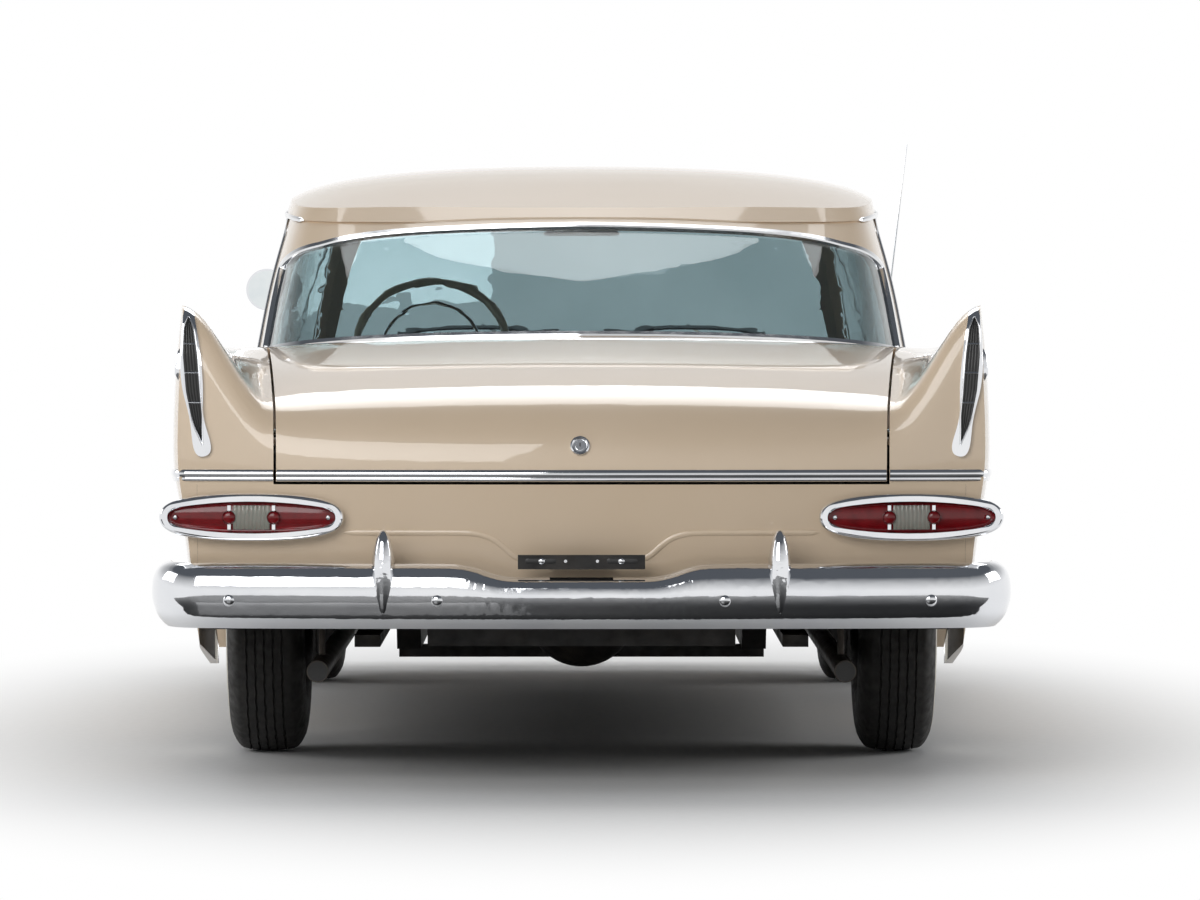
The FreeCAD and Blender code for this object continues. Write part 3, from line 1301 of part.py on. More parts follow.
front_x = "front_seat_front"
back_x = "(front_seat_front - front_seat_depth)"
nodes["front_seat"] = padded("front_seat", [
    (front_x, floor_top), (front_x, "cushion_top"), (back_x, "cushion_top - 0.2 * squab_wall"),
    (f"{back_x} - 0.9 * squab_wall", "squab_top"), (f"{back_x} - 1.7 * squab_wall", "squab_top"),
    (f"{back_x} - 1.2 * squab_wall", floor_top),
], "-seat_half_width", "seat_half_width")
rear_x = "rear_seat_front"
rear_back_x = "(rear_seat_front - rear_seat_depth + squab_wall)"
over_floor = "(rail_top_over_axle + floor_wall + 2 * joint_line)"
step_low = f"({rear_axle_x} + {kick_reach} + 2 * rail_height + floor_wall)"
step_high = f"({rear_axle_x} + {kick_reach} + floor_wall)"
bulkhead_face = "(-bulkhead_place + floor_wall + joint_line)"
nodes["rear_seat"] = padded("rear_seat", [
    (step_low, floor_top), (rear_x, floor_top), (rear_x, "cushion_top + 0.2 * squab_wall"),
    (rear_back_x, "cushion_top + squab_wall"), (f"{rear_back_x} - squab_wall", "squab_top"),
    (f"{bulkhead_face}", "squab_top"), (f"{bulkhead_face}", over_floor), (step_high, over_floor),
], "-0.9 * seat_half_width", "0.9 * seat_half_width")

dash_shares = (
    (0.9, 0.655), (0.6, 0.678), (0.3, 0.68), (0.1, 0.665), (0, 0.62), (0.12, 0.54), (0.4, 0.54),
    (0.5, 0.61), (0.9, 0.64),
)
dash_front, dash_rear = cowl_x - gap - jamb - 2 * gap, size("wheel_place") + size("wheel_radius")
dash_points = [Vector(dash_rear + (dash_front - dash_rear) * x, -wide, z * height)
               for x, z in dash_shares]
dash = Part.Face(Part.makePolygon(dash_points + dash_points[:1])).extrude(Vector(0, 2 * wide, 0))
dash_ring = ring_net(size("pillar_wall") + seam, left_columns)[1]
dash_outline = [(p.x, p.y) for p in dash_ring] + [(p.x, -p.y) for p in dash_ring[-2:0:-1]]
dash = dash.common(plan_view(dash_outline, 0, height))
dash = dash.cut(band(0, size("pillar_wall") + seam, front_columns))
dash = max(dash.Solids, key=lambda solid: solid.Volume)
dash_side = size("seat_half_width")
dash = dash.common(block(-far, far, -dash_side, dash_side, 0, height))
rake = math.radians(size("column_rake"))
axis = Vector(-math.cos(rake), 0, math.sin(rake))
hub = Vector(size("wheel_place"), size("wheel_offset"), size("wheel_height"))
column_top = hub - axis * (size("wheel_rim") / 2 + size("bearing_gap"))
column = Part.makeCylinder(size("column_diameter") / 2, size("column_length"), column_top, axis * -1)
column = column.common(block(0, cowl_x - gap - jamb - seam, 0, wide, 0, height))
dash = dash.fuse(column)
node("dashboard", dash)

ring_form = Part.makeTorus(size("wheel_radius"), size("wheel_rim") / 2, hub, axis)
cross_axis = Vector(0, 1, 0)
spoke = Part.makeCylinder(size("wheel_rim") / 3, 2 * size("wheel_radius"),
                          hub - cross_axis * size("wheel_radius"), cross_axis)
boss = Part.makeCylinder(size("column_diameter") / 2 + size("wheel_rim") / 2, size("wheel_rim"),
                         hub - axis * (size("wheel_rim") / 2), axis)
node("steering_wheel", ring_form.fuse([spoke, boss]))

# Door mirror on a stalk, and the aerial on the right front wing
mirror_centre = Vector(size("mirror_place"), size("mirror_offset"), size("mirror_height"))
head = Part.makeSphere(size("mirror_diameter") / 2)
matrix = FreeCAD.Matrix()
matrix.scale(2 * size("mirror_depth") / size("mirror_diameter"), 1, 1)
head = head.transformGeometry(matrix).common(block(0, far, -wide, wide, -height, height))
head = head.translated(mirror_centre)
stalk_top = mirror_centre + Vector(size("mirror_depth") / 3, 0, 0)
stalk_length = size("mirror_height") - size("mirror_diameter") / 3
stalk = Part.makeCylinder(size("wheel_rim") / 3, stalk_length, stalk_top, Vector(0, 0, -1))
foot = Part.makeCylinder(size("wheel_rim"), height, stalk_top, Vector(0, 0, -1))
foot = foot.common(body.translated(Vector(0, 0, size("wheel_rim") / 3)))
mirror = max(head.fuse([stalk, foot]).cut(body).Solids, key=lambda solid: solid.BoundBox.ZMax)
node("door_mirror", mirror)

antenna_foot = Vector(size("antenna_place"), -size("antenna_offset"), size("squab_top") - overrun)
antenna_run = Vector(-size("antenna_lean") / 2, -size("antenna_lean"), size("antenna_rise") + overrun)
mast = size("antenna_diameter")
rod_form = Part.makeCylinder(mast / 2, antenna_run.Length, antenna_foot, antenna_run)
seat_place = antenna_foot + antenna_run * 0.1 - Vector(0, 0, 3 * mast)
seat_form = Part.makeCone(4 * mast, mast, 6 * mast, seat_place, antenna_run)
antenna = rod_form.fuse(seat_form).cut(mirrored(wing))
antenna = max(antenna.Solids, key=lambda solid: solid.BoundBox.ZMax)
node("antenna", antenna)

# Bracket that carries a licence plate, on the dip in the rear bumper's top edge
plate_x = -half_length + size("bumper_section")
plate_z = size("plate_height")
plate_side = size("plate_width") / 2
plate = block(plate_x, plate_x + size("plate_wall"), -plate_side, plate_side,
              plate_z - size("plate_rise"), plate_z + size("plate_hole") * 2)
for sign in (-1, 1):
    hole_place = Vector(plate_x - overrun, sign * size("plate_spacing") / 2, plate_z)
    plate = plate.cut(Part.makeCylinder(size("plate_hole") / 2, 2 * overrun, hole_place,
                                        Vector(1, 0, 0)))
ledge = block(plate_x, 0, -plate_side / 2, plate_side / 2,
              plate_z - size("plate_rise"), plate_z - size("plate_rise") + size("plate_wall"))
ledge = ledge.cut(body.translated(Vector(-seam, 0, 0)))
ledge = min(ledge.Solids, key=lambda solid: solid.BoundBox.XMin)
node("plate_bracket", plate.fuse(ledge))

# Checks and files

doc.recompute()
for made in doc.Objects:
    if "Invalid" in made.State or "Error" in made.State:
        raise RuntimeError(f"{made.Name} did not build: {made.State}")
for label, made in nodes.items():
    made.Label = label
    if made.Shape.isNull() or not made.Shape.isValid():
        raise RuntimeError(f"{label} has no valid shape")
os.makedirs("parts", exist_ok=True)
for label, made in nodes.items():
    made.Shape.exportStep(f"parts/{label}.step")
print(len(nodes), "sub-parts")
for label, made in nodes.items():
    print(label, len(made.Shape.Solids), round(made.Shape.Volume / 1e6, 2))
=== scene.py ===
"""The looks of a late-1950s two-door hardtop with tail fins, seen from behind through a long lens.

Metres, with +X to the front bumper, +Y to the car's left and +Z up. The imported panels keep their
shapes and get their finishes here. Mouldings, lamps, tyres, cushions and fittings are built on
them, and most find their place by casting a ray on the panel that carries them.
"""

import json
import math

import bmesh
import bpy
from mathutils import Matrix, Vector
from mathutils.bvhtree import BVHTree

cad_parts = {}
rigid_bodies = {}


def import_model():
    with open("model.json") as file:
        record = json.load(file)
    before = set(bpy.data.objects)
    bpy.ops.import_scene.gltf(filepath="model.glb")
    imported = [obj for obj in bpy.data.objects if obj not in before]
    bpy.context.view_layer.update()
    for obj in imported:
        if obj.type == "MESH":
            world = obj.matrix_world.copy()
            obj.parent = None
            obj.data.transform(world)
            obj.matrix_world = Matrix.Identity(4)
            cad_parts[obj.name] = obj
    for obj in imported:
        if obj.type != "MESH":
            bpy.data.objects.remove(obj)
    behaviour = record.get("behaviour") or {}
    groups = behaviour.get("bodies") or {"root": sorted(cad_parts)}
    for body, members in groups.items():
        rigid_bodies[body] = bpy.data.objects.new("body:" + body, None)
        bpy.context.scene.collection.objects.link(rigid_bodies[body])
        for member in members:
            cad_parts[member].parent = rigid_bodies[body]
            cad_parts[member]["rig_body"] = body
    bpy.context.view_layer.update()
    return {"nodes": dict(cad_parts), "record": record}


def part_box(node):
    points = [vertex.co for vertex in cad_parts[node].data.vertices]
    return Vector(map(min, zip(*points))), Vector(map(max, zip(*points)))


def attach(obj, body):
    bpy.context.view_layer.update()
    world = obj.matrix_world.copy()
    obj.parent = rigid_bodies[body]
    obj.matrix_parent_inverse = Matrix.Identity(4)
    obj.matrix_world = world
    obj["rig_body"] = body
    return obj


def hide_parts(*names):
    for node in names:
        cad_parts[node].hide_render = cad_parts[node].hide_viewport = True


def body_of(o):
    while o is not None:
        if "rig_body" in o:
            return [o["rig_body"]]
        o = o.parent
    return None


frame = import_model()
nodes = frame["nodes"]

MM = 0.001
FAR = 4.0
HANDS = (("left", 1), ("right", -1))
FORWARDS, BACKWARDS = Vector((1, 0, 0)), Vector((-1, 0, 0))
INWARDS, UP, DOWN = Vector((0, -1, 0)), Vector((0, 0, 1)), Vector((0, 0, -1))


# Camera, and places read off the photo by pixel

PHOTO_WIDTH, PHOTO_HEIGHT = 1200, 900
FOCAL_PIXELS = 6750
HORIZON_PIXEL = 294
CAR_MIDDLE_PIXEL = 581.5
EYE = Vector((-17.65, 0, 1.11))
LEAF_X, BUMPER_X, TAIL_X, FIN_X = -2.59, -2.62, -2.56, -2.5


def aim(thing, target):
    """Turns a camera or lamp to look at a point."""
    thing.rotation_mode = "QUATERNION"
    thing.rotation_quaternion = (target - thing.location).to_track_quat("-Z", "Y")


camera = bpy.data.objects.new("camera", bpy.data.cameras.new("camera"))
bpy.context.scene.collection.objects.link(camera)
camera.data.lens = camera.data.sensor_width * FOCAL_PIXELS / PHOTO_WIDTH
camera.data.clip_end = 500
camera.location = EYE
pitch = (PHOTO_HEIGHT / 2 - HORIZON_PIXEL) / FOCAL_PIXELS
yaw = (PHOTO_WIDTH / 2 - CAR_MIDDLE_PIXEL) / FOCAL_PIXELS
aim(camera, EYE + Vector((1, -yaw, -pitch)))
bpy.context.scene.camera = camera
bpy.context.scene.view_settings.view_transform = "Standard"


def metres_across(pixel, x):
    """How far left of the car's middle a column of the photo lies, at a place x along the car."""
    return (CAR_MIDDLE_PIXEL - pixel) * (x - EYE.x) / FOCAL_PIXELS


def metres_up(pixel, x):
    """How high a row of the photo lies, at a place x along the car."""
    return EYE.z - (pixel - HORIZON_PIXEL) * (x - EYE.x) / FOCAL_PIXELS


# Materials

RESULT_COLOR = 2
SLOTS = {}
CLOUDS, CELLS, WEAVE = "clouds", "cells", "weave"
# Waves repeat about three times per unit of scale, so one repeat is about two threads wide
THREADS_PER_SCALE = 6


def linear(hex_colour):
    """An sRGB hex colour as linear red, green, blue and alpha."""
    channels = [int(hex_colour[place:place + 2], 16) / 255 for place in (1, 3, 5)]
    bent = [c / 12.92 if c <= 0.04045 else ((c + 0.055) / 1.055) ** 2.4 for c in channels]
    return (*bent, 1)


def plug(tree, node, values):
    """Sets or links a node's inputs."""
    for name, value in values.items():
        socket = next(socket for socket in node.inputs
                      if socket.identifier == name or socket.name == name.replace("_", " "))
        if isinstance(value, bpy.types.NodeSocket):
            tree.links.new(value, socket)
        else:
            socket.default_value = value


def add(tree, kind, settings=None, **values):
    """Adds a node with its settings and links."""
    made = tree.nodes.new("ShaderNode" + kind)
    for name, value in (settings or {}).items():
        setattr(made, name, value)
    plug(tree, made, values)
    return made


def pattern(tree, place, kind, size_mm, low=0, high=1, detail=3):
    """A pattern at a real size: pebbles or loops, crossed threads, or soft clouds from low to
    high."""
    scale = 1 / (size_mm * MM)
    if kind == CELLS:
        return add(tree, "TexVoronoi", Vector=place, Scale=scale).outputs[0]
    if kind == WEAVE:
        warp, weft = [add(tree, "TexWave", {"bands_direction": way}, Vector=place,
                          Scale=scale / THREADS_PER_SCALE).outputs[1] for way in ("Y", "DIAGONAL")]
        return add(tree, "Math", {"operation": "MULTIPLY"}, Value=warp, Value_001=weft).outputs[0]
    noise = add(tree, "TexNoise", Vector=place, Scale=scale, Detail=detail)
    return add(tree, "MapRange", Value=noise.outputs[0], From_Min=0.3, From_Max=0.7,
               To_Min=low, To_Max=high).outputs[0]


def finish(slot, name, colours, tone=None, gloss=None, grain=None, depth_mm=0, skin="Normal",
           **values):
    """A material on one of the record's slots. Its colours run through the tone, its gloss is the
    roughness and its grain a relief of real depth. All three are patterns with a size in
    millimetres, and the other values are even all over."""
    material = bpy.data.materials.new(name)
    SLOTS[name] = slot
    material.use_nodes = True
    tree = material.node_tree
    place = add(tree, "TexCoord").outputs["Object"]
    values["Base_Color"] = linear(colours[0])
    if tone:
        values["Base_Color"] = add(
            tree, "Mix", {"data_type": "RGBA"}, Factor_Float=pattern(tree, place, *tone),
            A_Color=linear(colours[0]), B_Color=linear(colours[1])).outputs[RESULT_COLOR]
    if gloss:
        values["Roughness"] = pattern(tree, place, CLOUDS, *gloss)
    if grain:
        values[skin] = add(tree, "Bump", Height=pattern(tree, place, *grain),
                           Distance=depth_mm * MM, Strength=1).outputs[0]
    plug(tree, tree.nodes["Principled BSDF"], values)
    return material


# Baked acrylic enamel, sprayed and polished: a deep even gloss with faint orange peel
ENAMEL = finish("body_paint", "baked_acrylic_enamel", ("#E3CDB2", "#DFC8AB"), (CLOUDS, 420),
                grain=(CLOUDS, 3.5, 0, 1, 1), depth_mm=0.002, skin="Coat_Normal", Roughness=0.38,
                Coat_Weight=1.0, Coat_Roughness=0.025, Coat_IOR=1.5)
# Pressed steel, polished and chromium plated: a mirror, with wiped smears on it
CHROME = finish("chrome_trim", "chromium_plated_steel", ("#E9EAEC", "#DDDFE3"), (CLOUDS, 240),
                (60, 0.03, 0.1), Metallic=1.0)
# Rolled stainless strip, buffed along its run: a little softer than chrome plate
STRIP = finish("chrome_trim", "buffed_stainless_strip", ("#D9DADC", "#E6E7E9"),
               (CLOUDS, 1.2, 0, 1, 2), (35, 0.08, 0.17), Metallic=1.0)
# Mirror glass, silvered behind: a cool, clean reflection with a little haze
SILVER = finish("chrome_trim", "silvered_mirror_glass", ("#DCE2E4", "#E6EAEA"), (CLOUDS, 60),
                (25, 0.01, 0.04), Metallic=1.0)
# Laminated safety glass, drawn and polished: clear with a smoky green tint, a little uneven
GLASS = finish("tinted_glass", "tinted_laminated_glass", ("#B0C0C3", "#B8C7CA"), (CLOUDS, 300),
               Roughness=0.0, Transmission_Weight=1.0, IOR=1.5)
# Black chassis enamel, dipped and air dried: satin, with road dust on top
CHASSIS = finish("chassis_black", "dipped_black_chassis_enamel", ("#141312", "#2A2622"),
                 (CLOUDS, 70), (40, 0.4, 0.75), (CLOUDS, 6), 0.15)
# Vulcanised rubber, moulded: dull grey-black with a fine pebbled skin
RUBBER = finish("tyre_rubber", "moulded_tyre_rubber", ("#1C1B1A", "#2B2927"), (CLOUDS, 30),
                (18, 0.55, 0.85), (CLOUDS, 1.5), 0.12)
# White sidewall rubber, buffed: chalky, faintly yellowed
WHITEWALL = finish("tyre_rubber", "buffed_white_rubber", ("#DEDBD2", "#CFC9BB"), (CLOUDS, 45),
                   grain=(CLOUDS, 2), depth_mm=0.08, Roughness=0.55)
# Ruby acrylic, injection moulded: deep red, lit from within where it is thin
RUBY = finish("lamp_lens", "moulded_ruby_acrylic", ("#6E040C", "#860A14"), (CLOUDS, 25),
              Roughness=0.1, Transmission_Weight=0.25, IOR=1.49)
# Clear acrylic, moulded with flutes: grey-green and glassy
CLEAR = finish("headlamp_glass", "moulded_clear_acrylic", ("#C9D0C2",), gloss=(12, 0.05, 0.2),
               Transmission_Weight=0.65, IOR=1.49)
# Pressed headlamp glass: clear, with a light grey body
LAMP_GLASS = finish("headlamp_glass", "pressed_lamp_glass", ("#E4E9E8",), gloss=(30, 0.03, 0.12),
                    Transmission_Weight=0.8, IOR=1.52)
# Grey cast iron and forged steel under engine paint: matt, oily in patches
IRON = finish("engine_iron", "painted_cast_iron", ("#1B1A19", "#37322C"), (CLOUDS, 50),
              (35, 0.35, 0.8), (CLOUDS, 4), 0.3)
# Aluminised steel tube, drawn: grey, browned by heat
EXHAUST = finish("exhaust_steel", "aluminised_steel_tube", ("#3A3531", "#4E4943"), (CLOUDS, 90),
                 (20, 0.35, 0.6), Metallic=0.8)
# Woven seat cloth: crossed threads, drawn coarser than real so that they show
CLOTH = finish("seat_cloth", "woven_nylon_seat_cloth", ("#3B342C", "#5C5143"), (WEAVE, 3),
               grain=(WEAVE, 3), depth_mm=0.4, Roughness=0.85, Sheen_Weight=0.25)
# Coated leathercloth, embossed: a soft sheen over a pebbled grain
BOLSTER = finish("seat_cloth", "embossed_leathercloth", ("#B9A78C", "#A99779"), (CLOUDS, 120),
                 grain=(CELLS, 3.0), depth_mm=0.25, Roughness=0.5, Specular_IOR_Level=0.4)
# The same cloth, paler and stitched, under the roof
HEADLINING = finish("seat_cloth", "stitched_headlining", ("#C9BDA8", "#BDB19B"), (CLOUDS, 120),
                    grain=(CELLS, 3.0), depth_mm=0.25, Roughness=0.5, Specular_IOR_Level=0.4)
# Looped rayon carpet: rough, dark and soft edged
CARPET = finish("shelf_board", "looped_rayon_carpet", ("#1D1916", "#40382F"), (CELLS, 5.0),
                grain=(CELLS, 5.0), depth_mm=1.5, Roughness=0.95, Sheen_Weight=0.3)
# Stoved enamel on pressed steel: brown, even, half gloss
DASH = finish("dash_paint", "stoved_dash_enamel", ("#54483A", "#5E5142"), (CLOUDS, 40),
              grain=(CLOUDS, 2.5), depth_mm=0.02, Roughness=0.35, Coat_Weight=0.4)
# Compression-moulded plastic: even and glossy, with a trace of flow in its colour
IVORY = finish("wheel_plastic", "moulded_ivory_plastic", ("#D8C8AC", "#CDBB9D"), (CLOUDS, 40),
               grain=(CLOUDS, 2.5), depth_mm=0.02, Roughness=0.25, Coat_Weight=0.4)
# Hard black rubber, moulded: a dull gloss. The same black is also painted shade in the lock's
# keyway, the plate bracket's slots and the exhaust bores, and a painted reflection in the fin
# leaves
BLACK = finish("chassis_black", "black_rubber_painted_shade_and_reflection", ("#121212", "#1C1B1A"), (CLOUDS, 40),
               grain=(CLOUDS, 2.5), depth_mm=0.02, Roughness=0.5, Coat_Weight=0.4)

NODE_FINISHES = {
    "body_paint": ENAMEL, "chrome_trim": CHROME, "tinted_glass": GLASS, "chassis_black": CHASSIS,
    "tyre_rubber": RUBBER, "wheel_steel": ENAMEL, "lamp_lens": RUBY, "headlamp_glass": LAMP_GLASS,
    "engine_iron": IRON, "exhaust_steel": EXHAUST, "seat_cloth": CLOTH, "dash_paint": DASH,
    "wheel_plastic": IVORY, "shelf_board": CARPET,
}
for part in frame["record"]["subparts"]:
    carried = nodes[part["node"]]
    carried.data.materials.clear()
    carried.data.materials.append(NODE_FINISHES[part["material_slot"]])


# Making pieces

WELD = 0.01 * MM
SHARP_EDGE = math.radians(35)


def piece(name, points, faces, material, body="car_body", slot=None, smooth=True):
    """A mesh from points and faces that rides on a body."""
    mesh = bpy.data.meshes.new(name)
    mesh.from_pydata([tuple(point) for point in points], [], faces)
    made = bpy.data.objects.new(name, mesh)
    bpy.context.scene.collection.objects.link(made)
    welded = bmesh.new()
    welded.from_mesh(mesh)
    bmesh.ops.remove_doubles(welded, verts=welded.verts, dist=WELD)
    bmesh.ops.recalc_face_normals(welded, faces=welded.faces)
    welded.to_mesh(mesh)
    welded.free()
    if smooth:
        mesh.shade_smooth()
        mesh.set_sharp_from_angle(angle=SHARP_EDGE)
    mesh.materials.append(material)
    slot = slot or SLOTS[material.name]
    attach(made, body)
    return made


def rider(node):
    """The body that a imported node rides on."""
    return body_of(nodes[node])[0]


def spread(low, high, count):
    """Even places from low to high, both ends in."""
    return [low + (high - low) * index / (count - 1) for index in range(count)]


def fluted(share, count):
    """Height of a row of rounded flutes, from 0 in a furrow to 1, at a share from -1 to 1."""
    return abs(math.sin(math.pi * count * (share + 1) / 2))


def grid_faces(rows, columns, closed_rows=False, closed_columns=False, first=0):
    """Quads over a grid of points that is numbered row by row."""
    faces = []
    for row in range(rows if closed_rows else rows - 1):
        for column in range(columns if closed_columns else columns - 1):
            next_row, next_column = (row + 1) % rows, (column + 1) % columns
            faces.append((first + row * columns + column, first + row * columns + next_column,
                          first + next_row * columns + next_column,
                          first + next_row * columns + column))
    return faces


def middle_of(node):
    """The middle of a node's box."""
    low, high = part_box(node)
    return (low + high) / 2


def side_box(node, hand):
    """Lowest and highest corners of a node's part on one side: 1 is the left, -1 the right."""
    points = [vertex.co for vertex in nodes[node].data.vertices if vertex.co.y * hand > 0]
    return (Vector(min(point[axis] for point in points) for axis in range(3)),
            Vector(max(point[axis] for point in points) for axis in range(3)))


def skin_of(node):
    """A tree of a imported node, to cast rays on."""
    mesh = nodes[node].data
    return BVHTree.FromPolygons([vertex.co.copy() for vertex in mesh.vertices],
                                [tuple(polygon.vertices) for polygon in mesh.polygons])


def hit(skin, origin, direction):
    """Where a ray meets the skin first, and the skin's outward direction there."""
    direction = Vector(direction).normalized()
    place, normal, index, distance = skin.ray_cast(Vector(origin), direction)
    if place is None:
        return None
    return place, normal if normal.dot(direction) < 0 else -normal


def along_rays(skin, origins, direction):
    """Where parallel rays meet a skin; those that miss are left out."""
    return [found for found in (hit(skin, origin, direction) for origin in origins) if found]


def from_left(skin, places, least=0.4):
    """Where rays cast inwards from the left meet a skin, for pairs along the car and up."""
    found = along_rays(skin, [(x, FAR, z) for x, z in places], INWARDS)
    return [(place, out) for place, out in found if place.y > least]


def evened(path, step):
    """The same path with its points an even step apart, and its outward directions with them."""
    spans = [(b[0] - a[0]).length for a, b in zip(path, path[1:])]
    total = sum(spans)
    count = max(int(total / step), 2)
    made, walked, index = [], 0.0, 0
    for number in range(count + 1):
        want = total * number / count
        while index < len(spans) - 1 and walked + spans[index] < want:
            walked += spans[index]
            index += 1
        (start_place, start_out), (end_place, end_out) = path[index], path[index + 1]
        share = min((want - walked) / spans[index], 1) if spans[index] else 0
        made.append((start_place.lerp(end_place, share),
                     start_out.lerp(end_out, share).normalized()))
    return made


def relaxed(path, rounds, closed=False):
    """The path with its small wobbles smoothed away."""
    for turn in range(rounds):
        before = list(path)
        for index in range(0 if closed else 1, len(path) if closed else len(path) - 1):
            (a, a_out), (b, b_out), (c, c_out) = (
                before[index - 1], before[index], before[(index + 1) % len(path)])
            path[index] = ((a + b * 2 + c) / 4, (a_out + b_out * 2 + c_out).normalized())
    return path


def fair(path, step_mm, rounds=3):
    """A path with its points spaced evenly and its wobbles smoothed away."""
    return relaxed(evened(path, step_mm * MM), rounds)


def run(skin, start, end, count=60, step_mm=14):
    """A straight run in side view, laid on a skin."""
    places = zip(spread(start[0], end[0], count), spread(start[1], end[1], count))
    return fair(from_left(skin, places), step_mm, 2)


def straight(start, end, out, count):
    """A straight path between two places."""
    return [(start.lerp(end, share), out.copy()) for share in spread(0, 1, count)]


def flipped(path):
    """The same path on the car's other side, run backwards."""
    return [(Vector((p.x, -p.y, p.z)), Vector((n.x, -n.y, n.z))) for p, n in path][::-1]


# Sections of mouldings: out from the panel, then across the run, each a share of height and width
HALF_ROUND = ((0, -0.5), (0.5, -0.46), (0.85, -0.28), (1, 0), (0.85, 0.28), (0.5, 0.46), (0, 0.5))
STEPPED = ((0, -0.5), (0.55, -0.5), (0.62, -0.3), (0.5, -0.2), (0.9, -0.12), (1, 0.1),
           (0.85, 0.34), (0.4, 0.5), (0, 0.5))
FLAT_TOP = ((0, -0.5), (0.7, -0.46), (1, -0.3), (1, 0.3), (0.7, 0.46), (0, 0.5))
SINK = 0.6 * MM


def moulding(name, path, width_mm, height_mm, material, body="car_body", section=HALF_ROUND,
             closed=False, taper=(0, 0)):
    """A strip that follows a path of places and outward directions. Taper gives the lengths over
    which its two ends shrink to a point."""
    points, count, runs = [], len(path), [0.0]
    for (a, a_out), (b, b_out) in zip(path, path[1:]):
        runs.append(runs[-1] + (b - a).length)
    for index, (place, out) in enumerate(path):
        before = path[index - 1][0] if closed or index else place
        after = path[(index + 1) % count][0] if closed or index < count - 1 else place
        along = (after - before).normalized()
        out = (out - along * out.dot(along)).normalized()
        across = along.cross(out)
        shrink = 1.0
        for length, walked in zip(taper, (runs[index], runs[-1] - runs[index])):
            if length and walked < length:
                shrink = min(shrink, max(math.sin(walked / length * math.pi / 2), 0.04))
        for rise, side in section:
            points.append(place + out * (rise * height_mm * MM * shrink - SINK)
                          + across * side * width_mm * MM * shrink)
    columns = len(section)
    faces = grid_faces(count, columns, closed_rows=closed, closed_columns=True)
    if not closed:
        faces.append(tuple(range(columns)))
        faces.append(tuple((count - 1) * columns + index for index in range(columns))[::-1])
    return piece(name, points, faces, material, body)


def both(name, path, width_mm, height_mm, material, body="car_body", section=HALF_ROUND,
         closed=False, taper=(0, 0)):
    """A moulding on the left and its mirror image on the right. A door's rides on each door."""
    moulding(f"{name}_left", path, width_mm, height_mm, material, body, section, closed, taper)
    moulding(f"{name}_right", flipped(path), width_mm, height_mm, material,
             body.replace("left", "right"), section, closed, taper[::-1])


def lathe(name, profile, place, axis, material, body="car_body", steps=40, ring=False, slot=None):
    """A turned piece: pairs of radius and reach along the axis from its place. In a ring the
    profile closes on itself."""
    axis = Vector(axis).normalized()
    side = axis.orthogonal().normalized()
    other = axis.cross(side)
    points = []
    for radius, reach in profile:
        for step in range(steps):
            angle = math.tau * step / steps
            points.append(Vector(place) + axis * reach
                          + (side * math.cos(angle) + other * math.sin(angle)) * radius)
    faces = grid_faces(len(profile), steps, closed_rows=ring, closed_columns=True)
    for row in (0, len(profile) - 1):
        if profile[row][0] > 0 and not ring:
            faces.append(tuple(row * steps + step for step in range(steps)))
    return piece(name, points, faces, material, body, slot)


def thick(profile, depth):
    """A profile with its own copy behind it, for a turned shell."""
    return list(profile) + [(radius, reach - depth) for radius, reach in profile[::-1]]


def hoop(name, rings, material, body):
    """A closed tube through rings of points, its last ring joined to the first."""
    points = [point for ring in rings for point in ring]
    faces = grid_faces(len(rings), len(rings[0]), closed_rows=True, closed_columns=True)
    return piece(name, points, faces, material, body)


def sheet(name, rows, shift, material, body="car_body"):
    """A thin closed sheet through rows of points, with its back shifted."""
    rings = [row + [point + shift for point in row[::-1]] for row in rows]
    count = len(rings[0])
    faces = grid_faces(len(rings), count, closed_columns=True)
    last = (len(rings) - 1) * count
    faces += [tuple(range(count)), tuple(range(last, last + count))]
    return piece(name, [point for ring in rings for point in ring], faces, material, body)


def block(name, low, high, material, body="car_body", edge=3 * MM, segments=3):
    """A block with rounded edges between two corners."""
    low, high = Vector(low), Vector(high)
    middle, half = (low + high) / 2, (high - low) / 2
    made = bmesh.new()
    bmesh.ops.create_cube(made, size=2)
    for vertex in made.verts:
        vertex.co = Vector(v * h for v, h in zip(vertex.co, half))
    bmesh.ops.bevel(made, geom=list(made.edges), offset=min(edge, *(half * 0.98)),
                    segments=segments, affect="EDGES", profile=0.5)
    points = [vertex.co + middle for vertex in made.verts]
    made.verts.index_update()
    faces = [tuple(vertex.index for vertex in face.verts) for face in made.faces]
    made.free()
    return piece(name, points, faces, material, body)


LEFT_QUARTER = skin_of("quarter_panels")
LEFT_WING = skin_of("front_fenders")
LEFT_DOOR = skin_of("door_left")
DECK_LID = skin_of("deck_lid")
HOOD = skin_of("hood")
ROOF = skin_of("roof_panel")
DOOR_LOW, DOOR_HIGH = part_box("door_left")
LID_LOW, LID_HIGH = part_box("deck_lid")
HOOD_LOW, HOOD_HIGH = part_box("hood")
TYRE_LOW, TYRE_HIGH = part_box("tyre_front_left")
TYRE_RADIUS = (TYRE_HIGH.z - TYRE_LOW.z) / 2


# Rear end: belt trim, lock, fin ornaments, lamps and bumper fittings

BELT_WIDTH_MM, BELT_HEIGHT_MM = 25, 9
BELT_UP = LID_LOW.z + BELT_WIDTH_MM * MM / 2 + 2 * MM
CORNER_X, CORNER_Y = -2.25, 0.6


